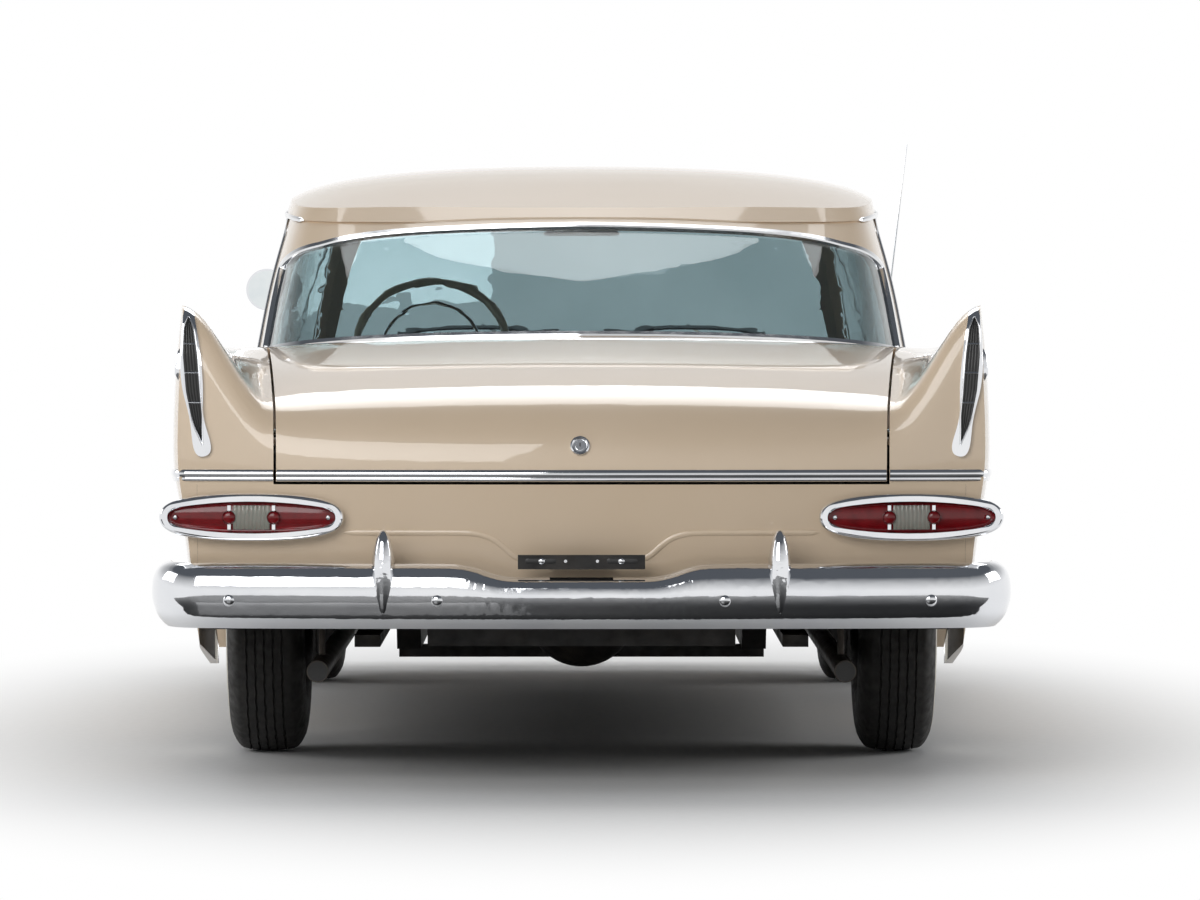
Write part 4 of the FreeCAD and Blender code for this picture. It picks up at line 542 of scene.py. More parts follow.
def belt_trim():
    """The bright strip round the tail: one length on the lid and one round each corner."""
    origins = [(-FAR, y, BELT_UP) for y in spread(-LID_HIGH.y, LID_HIGH.y, 120)]
    lid_run = along_rays(DECK_LID, origins, FORWARDS)
    moulding("belt_trim_lid", fair(lid_run, 12), BELT_WIDTH_MM, BELT_HEIGHT_MM, CHROME, "deck_lid",
             STEPPED)
    lid_end = max(abs(place.y) for place, out in lid_run)
    middle = Vector((CORNER_X, CORNER_Y, BELT_UP))
    corner = []
    for angle in spread(math.radians(167), math.radians(104), 90):
        ray = Vector((math.cos(angle), math.sin(angle), 0))
        found = hit(LEFT_QUARTER, middle + ray * FAR, -ray)
        if found and found[0].y > lid_end + 6 * MM:
            corner.append(found)
    both("belt_trim", fair(corner, 10, 4), BELT_WIDTH_MM, BELT_HEIGHT_MM, CHROME, section=STEPPED,
         taper=(0, 0.09))


LOCK_PIXELS = (580, 446)
LOCK_COLLAR = ((0.0225, -0.004), (0.0225, 0.003), (0.0215, 0.006), (0.0185, 0.0075),
               (0.0155, 0.006), (0.015, 0.002), (0.0105, 0.002), (0.0105, 0.0045), (0, 0.0045))


def lid_lock():
    """A round lock: a bright collar round a recessed barrel, with a black block in its keyway as
    painted shade.
    """
    across, up = metres_across(LOCK_PIXELS[0], TAIL_X), metres_up(LOCK_PIXELS[1], TAIL_X)
    place, out = hit(DECK_LID, (-FAR, across, up), FORWARDS)
    lathe("lid_lock_collar", LOCK_COLLAR, place, out, CHROME, "deck_lid")
    slot, half = place + out * 0.0046, Vector((0.0006, 0.0013, 0.006))
    # A black block in the barrel: painted shade in the keyway's gap
    block("lid_lock_slot_shade", slot - half, slot + half, BLACK, "deck_lid", 0.3 * MM)


# Height, middle and half width up the leaf, as shares of the car's height and half width
LEAF_LINE = ((0.530, 0.8545, 0.007), (0.565, 0.867, 0.017), (0.62, 0.879, 0.023),
             (0.675, 0.8855, 0.0235), (0.7225, 0.8895, 0.0155), (0.752, 0.8915, 0.006))
CAR_HALF_WIDTH, CAR_HEIGHT = 0.99, 1.44
# The painted reflection's foot and rise up the leaf, and its share of the leaf's width
REFLECTION_FOOT, REFLECTION_RISE, REFLECTION_SHARE, REFLECTION_FLUTES = 0.772, 0.288, 0.72, 5
LEAF_BAR_PIXELS, LEAF_BAR_SHARE = (344, 373, 403), 0.66


def leaf_at(up):
    """Middle and half width of the fin's leaf at one height."""
    share = up / CAR_HEIGHT
    for (low, low_y, low_w), (high, high_y, high_w) in zip(LEAF_LINE, LEAF_LINE[1:]):
        if share <= high:
            mix = max((share - low) / (high - low), 0)
            return ((low_y + (high_y - low_y) * mix) * CAR_HALF_WIDTH,
                    (low_w + (high_w - low_w) * mix) * CAR_HALF_WIDTH)
    return LEAF_LINE[-1][1] * CAR_HALF_WIDTH, LEAF_LINE[-1][2] * CAR_HALF_WIDTH


def fin_inserts():
    """A black fluted sheet in each leaf, a painted reflection of the dark that the plated leaf
    shows, with three bright bars across it.
    """
    leaf = skin_of("fin_ornaments")
    for hand, sign in HANDS:
        rows = []
        for step in spread(0, 1, 80):
            up = REFLECTION_FOOT + REFLECTION_RISE * step
            middle, half = leaf_at(up)
            foot, tip = min(max(step, 0.002) / 0.22, 1), min((1.004 - step) / 0.1, 1)
            half *= REFLECTION_SHARE * foot ** 0.6 * tip ** 0.6
            row = []
            for across in spread(-1, 1, 41):
                y = sign * (middle + across * half)
                found = (hit(leaf, (-FAR, y, up), FORWARDS)
                         or hit(leaf, (-FAR, sign * middle, up), FORWARDS))
                proud = (0.6 + 1.6 * fluted(across, REFLECTION_FLUTES)) * MM
                row.append(Vector((found[0].x - proud, y, found[0].z)))
            rows.append(row)
        # The black sheet is a painted reflection: it stands in for the dark that the plated leaf
        # reflects
        sheet(f"fin_insert_{hand}", rows, FORWARDS * 1.5 * MM, BLACK)
        edge = [row[0] for row in rows] + [row[-1] for row in rows[::-1]]
        edge = [(place, BACKWARDS.copy()) for place in edge]
        moulding(f"fin_insert_frame_{hand}", fair(edge, 4), 4, 5, CHROME)
        for number, pixel in enumerate(LEAF_BAR_PIXELS):
            up = metres_up(pixel, LEAF_X)
            middle, half = leaf_at(up)
            origins = [(-FAR, sign * (middle + across * half), up)
                       for across in spread(-LEAF_BAR_SHARE, LEAF_BAR_SHARE, 9)]
            path = [(place + BACKWARDS * 1.5 * MM, BACKWARDS.copy())
                    for place, out in along_rays(leaf, origins, FORWARDS)]
            moulding(f"fin_bar_{hand}_{number}", path, 5, 3, CHROME)


# The rear lamps bow round the tail on a wide radius. Their oval lies between ellipse and box
LAMP_BOW, LAMP_ROUNDNESS = 8.3, 2.45
LENS_CROWN = 9 * MM
BLOCK_HALF, BLOCK_RISE, BLOCK_FLUTES = 41 * MM, 27 * MM, 9
REFLECTOR_ACROSS, SCREW_INSET = 50 * MM, 17 * MM
REFLECTOR_DOME = ((0.0135, 0), (0.0135, 0.003), (0.0125, 0.0045), (0.009, 0.0062),
                  (0.005, 0.0071), (0, 0.0074))
REFLECTOR_RIM = ((0.0158, -0.002), (0.0158, 0.003), (0.0148, 0.0045), (0.0138, 0.003), (0.0138, 0))
LENS_SCREW = ((0.005, -0.002), (0.005, 0.001), (0.0035, 0.003), (0, 0.0035))


def oval_ring(middle, half, rise, share, crown, count=72):
    """Points round a rear lamp's oval, drawn in by the share, on its bowed and crowned face."""
    ring = []
    for step in range(count):
        angle = math.tau * step / count
        reach_y, reach_z = [math.copysign(abs(reach) ** (2 / LAMP_ROUNDNESS), reach)
                            for reach in (math.cos(angle), math.sin(angle))]
        y = middle.y + half * share * reach_y
        bow = (y * y - middle.y * middle.y) / (2 * LAMP_BOW)
        ring.append(Vector((middle.x + bow + crown, y, middle.z + rise * share * reach_z)))
    return ring


def tail_lens(hand, middle, half, rise):
    """A crowned ruby lens, with a bright band round it."""
    rings = [oval_ring(middle, half, rise, 0.995, 30 * MM)]
    rings += [oval_ring(middle, half, rise, share, LENS_CROWN * share ** 3 - 2 * MM)
              for share in (1, 0.995, 0.97, 0.9, 0.78, 0.6, 0.4, 0.2, 0.05)]
    count = len(rings[0])
    points = [point for ring in rings for point in ring]
    faces = grid_faces(len(rings), count, closed_columns=True)
    faces.append(tuple(range(len(points) - count, len(points))))
    lens = piece(f"tail_lens_{hand}", points, faces, RUBY)
    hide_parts("tail_lamp_lenses")
    band = [(point + FORWARDS * 3 * MM, BACKWARDS.copy())
            for point in oval_ring(middle, half + 9 * MM, rise + 8 * MM, 1, 0)]
    moulding(f"lamp_band_{hand}", band, 20, 13, CHROME, closed=True)


def lamp_block(hand, middle):
    """The clear fluted block in the middle of a lens."""
    rows = []
    for up in spread(-BLOCK_RISE, BLOCK_RISE, 15):
        row = []
        for across in spread(-BLOCK_HALF, BLOCK_HALF, 73):
            dome = (up / BLOCK_RISE) ** 4 * 3 * MM
            bow = across * middle.y / LAMP_BOW
            proud = (4.5 + fluted(across / BLOCK_HALF, BLOCK_FLUTES) * 1.2) * MM
            row.append(Vector((middle.x + bow - proud + dome, middle.y + across, middle.z + up)))
        rows.append(row)
    sheet(f"tail_block_{hand}", rows, FORWARDS * 5 * MM, CLEAR)


def reflectors(hand, middle, half):
    """A post and a round reflector on each side of the block, and a screw at each lens end."""
    for number, across in enumerate((-REFLECTOR_ACROSS, REFLECTOR_ACROSS)):
        bow = across * middle.y / LAMP_BOW
        place = Vector((middle.x + bow - 5 * MM, middle.y + across, middle.z))
        post = [(place + Vector((1.5 * MM, 0, up)), BACKWARDS.copy())
                for up in spread(-BLOCK_RISE, BLOCK_RISE, 12)]
        moulding(f"lens_post_{hand}_{number}", post, 8, 3, CHROME, section=FLAT_TOP)
        lathe(f"reflector_{hand}_{number}", REFLECTOR_DOME, place, BACKWARDS, RUBY)
        lathe(f"reflector_rim_{hand}_{number}", REFLECTOR_RIM, place, BACKWARDS, STRIP, ring=True)
        screw_y = middle.y + math.copysign(half - SCREW_INSET, across)
        lathe(f"lens_screw_{hand}_{number}", LENS_SCREW, (middle.x + 3 * bow, screw_y, middle.z),
              BACKWARDS, CHROME, steps=20)


def tail_lamps():
    """Both rear lamps."""
    skin = skin_of("tail_lamp_lenses")
    for hand, sign in HANDS:
        low, high = side_box("tail_lamp_lenses", sign)
        middle, half, rise = (low + high) / 2, (high.y - low.y) / 2, (high.z - low.z) / 2
        middle.x = hit(skin, (-FAR, middle.y, middle.z), FORWARDS)[0].x
        tail_lens(hand, middle, half, rise)
        lamp_block(hand, middle)
        reflectors(hand, middle, half)


BUMPER_BOLT = ((0.0145, -0.006), (0.0145, -0.003), (0.013, -0.0005), (0.0095, 0.0022),
               (0.005, 0.0038), (0, 0.0043))
BUMPER_BOLT_ROW, BUMPER_BOLT_COLUMNS = 601, (228, 437, 725, 932)


def bumper_bolts():
    """Domed bright bolt heads on both bumpers."""
    ends = (("rear", skin_of("rear_bumper"), FORWARDS),
            ("front", skin_of("front_bumper"), BACKWARDS))
    up = metres_up(BUMPER_BOLT_ROW, BUMPER_X)
    for number, pixel in enumerate(BUMPER_BOLT_COLUMNS):
        across = metres_across(pixel, BUMPER_X)
        for end, skin, way in ends:
            place, out = hit(skin, (-FAR * way.x, across, up), way)
            lathe(f"{end}_bumper_bolt_{number}", BUMPER_BOLT, place, out, CHROME)


belt_trim()
lid_lock()
fin_inserts()
tail_lamps()
bumper_bolts()


# Wheels: tyres with ribs and white walls, plated caps and trim rings. Profiles are radius and reach

SIDEWALL = ((0.1838, 0.061), (0.187, 0.070), (0.196, 0.080), (0.210, 0.0885), (0.226, 0.0925),
            (0.246, 0.0938), (0.262, 0.0936), (0.280, 0.0912), (0.297, 0.0872), (0.311, 0.0805),
            (0.320, 0.0745), (0.3262, 0.0690), (0.3296, 0.0640))
TREAD_HALF, TREAD_DROP, GROOVE_HALF, GROOVE_DEPTH, ZIG = 0.060, 0.0062, 0.0024, 0.0065, 0.0007
GROOVES = (-0.042, -0.021, 0.0, 0.021, 0.042)
WHITE_BAND = ((0.2045, 0.0850), *((radius, reach + 0.9 * MM) for radius, reach in SIDEWALL[3:8]),
              (0.2835, 0.0896))
CAP = ((0.1525, 0.033), (0.1532, 0.038), (0.1515, 0.0412), (0.147, 0.0428), (0.1435, 0.0446),
       (0.1315, 0.0532), (0.1215, 0.0613), (0.1165, 0.0625), (0.112, 0.0618), (0.108, 0.0603),
       (0.090, 0.0588), (0.070, 0.0566), (0.064, 0.0566), (0.058, 0.0580), (0.046, 0.0668),
       (0.0375, 0.0740), (0.030, 0.0754), (0.015, 0.0765), (0, 0.0768))
TRIM_RING = ((0.1700, 0.0495), (0.1725, 0.0535), (0.1760, 0.0590), (0.1820, 0.0665),
             (0.1880, 0.0740), (0.1925, 0.0768), (0.1948, 0.0762), (0.1950, 0.0730))


def tread_section():
    """Radius, reach and zigzag share of the tread, from its inner edge to its outer one."""
    section = [(-TREAD_HALF, 0.0, 0)]
    for middle in GROOVES:
        section += [(middle - GROOVE_HALF, 0.0, 1), (middle - GROOVE_HALF * 0.6, GROOVE_DEPTH, 1),
                    (middle + GROOVE_HALF * 0.6, GROOVE_DEPTH, 1), (middle + GROOVE_HALF, 0.0, 1)]
    section.append((TREAD_HALF, 0.0, 0))
    return [(TYRE_RADIUS - 0.6 * MM - TREAD_DROP * (reach / TREAD_HALF) ** 2 - depth, reach, zig)
            for reach, depth, zig in section]


def tyre(end, hand, sign):
    """A bias-ply tyre: five zigzag grooves and a broad white band on its outer wall."""
    node = f"tyre_{end}_{hand}"
    middle, body = middle_of(node), rider(node)
    section = [(radius, -reach, 0) for radius, reach in SIDEWALL] + tread_section()
    section += [(radius, reach, 0) for radius, reach in SIDEWALL[::-1]]
    steps, rings = 180, []
    for step in range(steps):
        angle = math.tau * step / steps
        swing = ZIG * (1 if step % 4 < 2 else -1)
        rings.append([middle + Vector((math.cos(angle) * radius, (reach + zig * swing) * sign,
                                       math.sin(angle) * radius))
                      for radius, reach, zig in section])
    made = hoop(f"tyre_detailed_{end}_{hand}", rings, RUBBER, body)
    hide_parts(node)
    lathe(f"white_wall_{end}_{hand}", thick(WHITE_BAND, 2 * MM), middle, (0, sign, 0), WHITEWALL,
          body, 96, ring=True)


def wheel_trim(end, hand, sign):
    """A plated cap with a raised ring, and a bright ring round the rim."""
    middle, body = middle_of(f"tyre_{end}_{hand}"), rider(f"wheel_{end}_{hand}")
    lathe(f"hub_cap_{end}_{hand}", CAP, middle, (0, sign, 0), CHROME, body, 72)
    lathe(f"trim_ring_{end}_{hand}", thick(TRIM_RING, 1.5 * MM), middle, (0, sign, 0), STRIP, body,
          96, ring=True)


for end in ("front", "rear"):
    for hand, sign in HANDS:
        tyre(end, hand, sign)
        wheel_trim(end, hand, sign)


# Glass surrounds, found from the edges of the panes


def longest_loop(nexts):
    """The longest chain through verts, each of which knows its neighbours."""
    loops, used = [], set()
    for vert in nexts:
        loop = []
        while vert and vert not in used:
            used.add(vert)
            loop.append(vert)
            vert = next((other for other in nexts[vert] if other not in used), None)
        loops.append(loop)
    return max(loops, key=len)


def pane_outline(node, origin, direction):
    """The edge of a pane's outer face as an even closed path with its outward directions."""
    made = bmesh.new()
    made.from_mesh(nodes[node].data)
    bmesh.ops.remove_doubles(made, verts=made.verts, dist=0.02 * MM)
    made.faces.ensure_lookup_table()
    index = BVHTree.FromBMesh(made).ray_cast(Vector(origin), direction)[2]
    seen, waiting = {made.faces[index]}, [made.faces[index]]
    while waiting:
        face = waiting.pop()
        for other in (other for edge in face.edges for other in edge.link_faces):
            if other not in seen and face.normal.angle(other.normal, 0) < math.radians(30):
                seen.add(other)
                waiting.append(other)
    nexts, outs = {}, {}
    # Walked in the mesh's own order, so that each run gives the same outline
    for face in [face for face in made.faces if face in seen]:
        for vert in face.verts:
            outs[vert] = outs.get(vert, Vector()) + face.normal
        for edge in face.edges:
            if sum(other in seen for other in edge.link_faces) == 1:
                for a, b in (edge.verts, reversed(edge.verts)):
                    nexts.setdefault(a, []).append(b)
    path = [(vert.co.copy(), outs[vert].normalized()) for vert in longest_loop(nexts)]
    made.free()
    return relaxed(evened(path + path[:1], 9 * MM)[:-1], 3, closed=True)


def glass_surrounds():
    """Bright reveal mouldings round the fixed panes."""
    back = pane_outline("rear_window", (-FAR, 0, 1.15), FORWARDS)
    moulding("back_window_surround", back, 20, 11.5, STRIP, section=FLAT_TOP, closed=True)
    front = pane_outline("windshield", (FAR, 0, 1.15), BACKWARDS)
    moulding("windscreen_surround", front, 19, 11.5, STRIP, section=FLAT_TOP, closed=True)
    low, high = side_box("quarter_windows", 1)
    place = Vector((low.x * 0.3 + high.x * 0.7, FAR, low.z * 0.7 + high.z * 0.3))
    both("quarter_window_surround", pane_outline("quarter_windows", place, INWARDS), 13, 6, STRIP,
         closed=True)


glass_surrounds()


# Side trim, found by rays cast inwards from the left and mirrored to the right. Places are pairs
# along the car and up

SPEAR_NOSE, SPEAR_TAIL = (2.36, 0.700), (-2.40, 0.694)
SPEAR_AT_DOOR_FRONT, SPEAR_AT_DOOR_REAR = 0.705, 0.702
SILL_UP = 0.262
# Each arch's panel, its middle along the car and up, its radius and the angle it starts at
ARCHES = (
    ("front", LEFT_WING, middle_of("tyre_front_left").x, middle_of("tyre_front_left").z,
     0.3855, -14),
    ("rear", LEFT_QUARTER, middle_of("tyre_rear_left").x, 0.2177, 0.3795, 4),
)
# Corners of the side opening, and how far outside them its trim runs
OPENING = ((0.8054, 0.8064), (0.365, 1.3046), (-0.6084, 1.3046), (-0.7089, 1.2557),
           (-1.021, 0.8064))
OPENING_SHIFT = 8 * MM
VENT_FOOT, VENT_TOP = (0.480, 0.972), (0.372, 1.285)


def side_trim():
    """A bright spear along wing, door and quarter, with a strip along the sill."""
    front, rear = DOOR_HIGH.x + 0.012, DOOR_LOW.x - 0.012
    both("side_spear_wing", run(LEFT_WING, SPEAR_NOSE, (front, SPEAR_AT_DOOR_FRONT)), 20, 6, STRIP,
         section=STEPPED, taper=(0.25, 0))
    door = run(LEFT_DOOR, (front - 0.018, SPEAR_AT_DOOR_FRONT), (rear + 0.018, SPEAR_AT_DOOR_REAR))
    both("side_spear_door", door, 20, 6, STRIP, rider("door_left"), STEPPED)
    both("side_spear_quarter", run(LEFT_QUARTER, (rear, SPEAR_AT_DOOR_REAR), SPEAR_TAIL), 20, 6,
         STRIP, section=STEPPED, taper=(0, 0.12))
    sill = run(skin_of("rocker_panels"), (DOOR_HIGH.x, SILL_UP), (DOOR_LOW.x, SILL_UP))
    both("sill_strip", sill, 34, 6, STRIP, section=FLAT_TOP)


def arch_lips():
    """Rolled lips round the wheel arches."""
    for name, skin, middle, up, radius, start in ARCHES:
        places = [(middle + radius * math.cos(angle), up + radius * math.sin(angle))
                  for angle in spread(math.radians(start), math.radians(180 - start), 120)]
        path = fair(from_left(skin, [(x, z) for x, z in places if z > 0.245], 0.7), 12, 2)
        both(f"arch_lip_{name}", path, 15, 5, ENAMEL)


def window_trim():
    """Bright strips round the side opening, on the drip edge and along the foot of the glass."""
    places = []
    for (x0, z0), (x1, z1) in zip(OPENING, OPENING[1:]):
        run_x, run_z = x1 - x0, z1 - z0
        shift = OPENING_SHIFT / math.hypot(run_x, run_z)
        places += [(x0 + run_x * share + run_z * shift, z0 + run_z * share - run_x * shift)
                   for share in spread(0.02, 0.98, 60)]
    path = [found for found in from_left(ROOF, places, 0.5) if found[0].z > 0.93]
    both("side_opening_trim", fair(path, 14), 14, 5, STRIP, section=FLAT_TOP)
    drip = []
    for x in spread(-0.90, 0.41, 80):
        last = None
        for z in spread(1.385, 1.28, 60):
            found = hit(ROOF, (x, FAR, z), INWARDS)
            if last and found and last[0].y - found[0].y > 3.5 * MM:
                drip.append(last)
                break
            last = found if found and found[0].y > 0.4 else None
    both("drip_strip", fair(drip, 14, 4), 13, 6, STRIP, taper=(0.03, 0.03))
    glass, foot = skin_of("door_glass_left"), []
    for x in spread(DOOR_LOW.x + 0.01, DOOR_HIGH.x - 0.02, 60):
        top = hit(LEFT_DOOR, (x, 0.872, FAR), DOWN)
        found = top and hit(glass, (x, FAR, top[0].z + 8 * MM), INWARDS)
        if found and found[0].y > 0.5:
            foot.append(found)
    both("glass_foot_strip", fair(foot, 14), 16, 7, STRIP, rider("door_left"))
    both("vent_divider", run(glass, VENT_FOOT, VENT_TOP, 30, 12), 13, 6, STRIP, rider("door_left"),
         FLAT_TOP)


HANDLE_ENDS, HANDLE_UP = (("rear", -0.485), ("front", -0.345)), 0.806
HANDLE_POST = ((0.016, -0.004), (0.016, -0.001), (0.013, 0.0005), (0.0085, 0.002),
               (0.0075, 0.003), (0, 0.0035))


def door_handles():
    """A pull between two posts on each door's outside."""
    for hand, sign in HANDS:
        body, ends, out = rider(f"door_{hand}"), [], Vector((0, sign, 0))
        for name, x in HANDLE_ENDS:
            place = from_left(LEFT_DOOR, [(x, HANDLE_UP)])[0][0]
            ends.append(Vector((place.x, place.y * sign, place.z)))
            lathe(f"handle_post_{hand}_{name}", HANDLE_POST, ends[-1], out, CHROME, body, 28)
        path = []
        for share in spread(-0.12, 1.12, 24):
            bow = math.cos((share - 0.5) * math.pi / 1.3) ** 0.6
            path.append((ends[0].lerp(ends[1], share) + out * (0.0005 + 0.001 * bow), out.copy()))
        moulding(f"handle_grip_{hand}", path, 19, 4, CHROME, body, taper=(0.02, 0.02))


def fin_bars():
    """A short upright bright bar on each fin's outer side."""
    path = run(LEFT_QUARTER, (-2.505, metres_up(381, FIN_X)), (-2.497, metres_up(348, FIN_X)), 12)
    both("fin_bar", path, 12, 9, CHROME, taper=(0.012, 0.012))


side_trim()
arch_lips()
window_trim()
door_handles()
fin_bars()


# Front end: bonnet and brow mouldings, lamps, wipers, mirror


def bonnet_trim():
    """A bright spine on the bonnet and a moulding over the grille and lamps."""
    spine = [(x, 0, FAR) for x in spread(HOOD_LOW.x + 0.08, HOOD_HIGH.x - 0.05, 70)]
    moulding("bonnet_spine", fair(along_rays(HOOD, spine, DOWN), 14), 20, 10, CHROME, "hood",
             taper=(0.3, 0.12))
    up = HOOD_LOW.z + 16 * MM
    lip = [(FAR, y, up) for y in spread(HOOD_LOW.y + 0.004, HOOD_HIGH.y - 0.004, 90)]
    lip = [found for found in along_rays(HOOD, lip, BACKWARDS) if found[0].x > HOOD_HIGH.x - 0.12]
    moulding("bonnet_lip_trim", fair(lip, 14), 20, 9, CHROME, "hood", STEPPED)
    reach = max(place.y for place, out in lip)
    brow = [(FAR, y, up) for y in spread(reach + 8 * MM, 0.868, 40)]
    both("brow_trim", fair(along_rays(LEFT_WING, brow, BACKWARDS), 12), 20, 9, CHROME,
         section=STEPPED, taper=(0, 0.05))


# Shares of the lamp's radius, and for bowl and rim their reach too
DOME_SHARES = (0.985, 0.95, 0.88, 0.78, 0.66, 0.52, 0.36, 0.2, 0.08, 0)
BOWL = ((0.97, -0.024), (0.9, -0.034), (0.75, -0.046), (0.55, -0.055), (0.3, -0.061), (0, -0.063))
LAMP_RIM = ((1.005, -0.030), (1.04, -0.022), (1.045, -0.014), (1.01, -0.010), (0.96, -0.013),
            (0.95, -0.020))


def headlamps():
    """Sealed-beam lamps: a glass dome over a bright bowl, in a chrome rim."""
    for hand, sign in HANDS:
        low, high = side_box("headlamps", sign)
        radius = (high.z - low.z) / 2
        ball = 2 * radius
        for name, y in (("inner", low.y + radius), ("outer", high.y - radius)):
            place = Vector((high.x, y, (low.z + high.z) / 2))
            dome = [(radius * share, math.sqrt(ball ** 2 - (radius * share) ** 2) - ball)
                    for share in DOME_SHARES]
            bowl = [(radius * share, reach) for share, reach in BOWL]
            rim = [(radius * share, reach) for share, reach in LAMP_RIM]
            glass = lathe(f"headlamp_glass_{hand}_{name}", thick(dome, 3.5 * MM), place, FORWARDS,
                          LAMP_GLASS, steps=64, ring=True)
            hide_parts("headlamps")
            lathe(f"headlamp_bowl_{hand}_{name}", thick(bowl, 2 * MM), place, FORWARDS, CHROME,
                  steps=64, ring=True)
            lathe(f"headlamp_rim_{hand}_{name}", rim, place, FORWARDS, CHROME, steps=64, ring=True)


PARKING_ACROSS, PARKING_UP = 0.70, 0.524
PARKING_RIM = ((0.036, -0.004), (0.036, 0.004), (0.033, 0.0075), (0.0295, 0.005), (0.029, 0))
PARKING_LENS = ((0.029, 0), (0.029, 0.004), (0.025, 0.0085), (0.018, 0.012), (0.009, 0.0138),
                (0, 0.0142))


def parking_lamps():
    """Round lamps in the valance under the headlamps."""
    valance = skin_of("nose_panel")
    for hand, sign in HANDS:
        place, out = hit(valance, (FAR, PARKING_ACROSS * sign, PARKING_UP), BACKWARDS)
        lathe(f"parking_rim_{hand}", PARKING_RIM, place, FORWARDS, CHROME, ring=True)
        lathe(f"parking_lens_{hand}", PARKING_LENS, place, FORWARDS, CLEAR)


WIPER_BOSS = ((0.013, -0.014), (0.013, 0.001), (0.010, 0.006), (0, 0.008))


def wipers():
    """Two wiper arms with their blades, at rest along the foot of the windscreen."""
    screen, cowl = skin_of("windshield"), skin_of("cowl_panel")
    for hand, start_y, end_y in (("left", 0.50, 0.06), ("right", -0.06, -0.50)):
        origins = [(FAR, y, 1.000 + 0.014 * math.sin(share * math.pi))
                   for share, y in zip(spread(0, 1, 24), spread(start_y, end_y, 24))]
        path = [(place + out * 3 * MM, out)
                for place, out in along_rays(screen, origins, BACKWARDS)]
        moulding(f"wiper_blade_{hand}", path, 7, 11, BLACK, section=FLAT_TOP)
        middle, out = path[len(path) // 2]
        foot = hit(cowl, (middle.x + 0.075, middle.y - 0.06, FAR), DOWN)[0] + UP * 0.012
        moulding(f"wiper_arm_{hand}", straight(foot, middle + out * 0.013, out, 10), 8, 5, CHROME)
        lathe(f"wiper_boss_{hand}", WIPER_BOSS, foot, UP, CHROME, steps=24)


def mirror_glass():
    """The door mirror's silvered glass, facing the tail."""
    low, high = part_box("door_mirror")
    radius = (high.y - low.y) / 2
    place = Vector((low.x, (low.y + high.y) / 2, high.z - radius)) + FORWARDS * 0.0022
    glass = [(radius * 0.9, 0.0002), (radius * 0.9, 0.0016), (radius * 0.5, 0.0021), (0, 0.0023)]
    lathe("mirror_glass", glass, place, BACKWARDS, SILVER, rider("door_mirror"), 48)


bonnet_trim()
headlamps()
parking_lamps()
wipers()
mirror_glass()


# Rear end, below the trim: pressed ledge, painted shade in exhaust bores and plate slots, bolts

LEDGE_PIXELS = ((341, 533), (380, 533), (420, 533), (455, 533), (474, 533.5), (486, 536),
                (496, 541), (504, 548), (511, 555), (519, 560), (530, 562))
PLATE_UP, BOLT_ACROSS, HOLE_ACROSS = 0.514, 0.089, 0.0355
PLATE_BOLT = ((0.0075, -0.001), (0.0075, 0.0015), (0.006, 0.0035), (0.003, 0.0045), (0, 0.0047))
PLATE_HOLE = ((0.0035, -0.001), (0.0035, 0.0008), (0, 0.0008))


def rear_details():
    """The rear face's pressed ledge, painted shade in exhaust bores and plate slots, plate bolts.
    """
    origins = [(-FAR, metres_across(px, TAIL_X), metres_up(py, TAIL_X)) for px, py in LEDGE_PIXELS]
    ledge = along_rays(skin_of("tail_panel"), origins, FORWARDS)
    both("rear_ledge", fair(ledge, 8, 4), 13, 4.5, ENAMEL, taper=(0.03, 0.03))
    for hand, sign in HANDS:
        low, high = side_box("exhaust_pipes", sign)
        ends = [point.co for point in nodes["exhaust_pipes"].data.vertices
                if point.co.y * sign > 0 and point.co.x < low.x + 1 * MM]
        middle = sum(ends, Vector()) / len(ends)
        radius = 0.88 * max((end - middle).length for end in ends)
        # A black disc in each pipe's end: painted shade down the bore, with its soot
        lathe(f"exhaust_bore_shade_{hand}", [(radius, -0.002), (radius, 0.0008), (0, 0.0009)], middle,
              BACKWARDS, BLACK)
    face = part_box("plate_bracket")[0].x
    for hand, sign in HANDS:
        lathe(f"plate_bolt_{hand}", PLATE_BOLT, (face, BOLT_ACROSS * sign, PLATE_UP), BACKWARDS,
              STRIP, steps=24)
        path = [(Vector((face, y * sign, PLATE_UP)), BACKWARDS.copy())
                for y in spread(0.054, 0.128, 14)]
        # Black strips on the bracket: painted shade in its slots
        moulding(f"plate_slot_shade_{hand}", path, 12, 1.2, BLACK, section=FLAT_TOP, taper=(0.005, 0.005))
        lathe(f"plate_hole_{hand}", PLATE_HOLE, (face, HOLE_ACROSS * sign, PLATE_UP), BACKWARDS,
              STRIP, steps=20)


rear_details()


# Cabin: padded seats, trim panels, dials, visors and lining

PLEAT_DEPTH = 5 * MM


def pad(name, middle, half, lean, material, pleats=0):
    """A stuffed pad, leaned by degrees: crowned, with rounded sides that pull in, and pleats sewn
    fore and aft."""
    turn = Matrix.Rotation(math.radians(lean), 3, "Y")
    rows, columns = 26, 90
    points = []
    for side in (1, -1):
        for u in spread(-1, 1, rows):
            for v in spread(-1, 1, columns):
                edge = max(1 - abs(u) ** 6, 0) ** 0.4 * max(1 - abs(v) ** 14, 0) ** 0.4
                crown = 0.82 + 0.18 * (1 - u * u) * (1 - v * v)
                rise = half[2] * edge * crown * side
                if pleats and side > 0:
                    rise -= PLEAT_DEPTH * max(1 - abs(u) ** 8, 0) * (1 - fluted(v, pleats))
                pull = 1 - 0.02 * (1 - abs(u)) * abs(v) ** 6
                local = Vector((half[0] * u, half[1] * v * pull, rise))
                points.append(Vector(middle) + turn @ local)
    faces = grid_faces(rows, columns) + grid_faces(rows, columns, first=rows * columns)
    made = piece(name, points, faces, material)
    return made


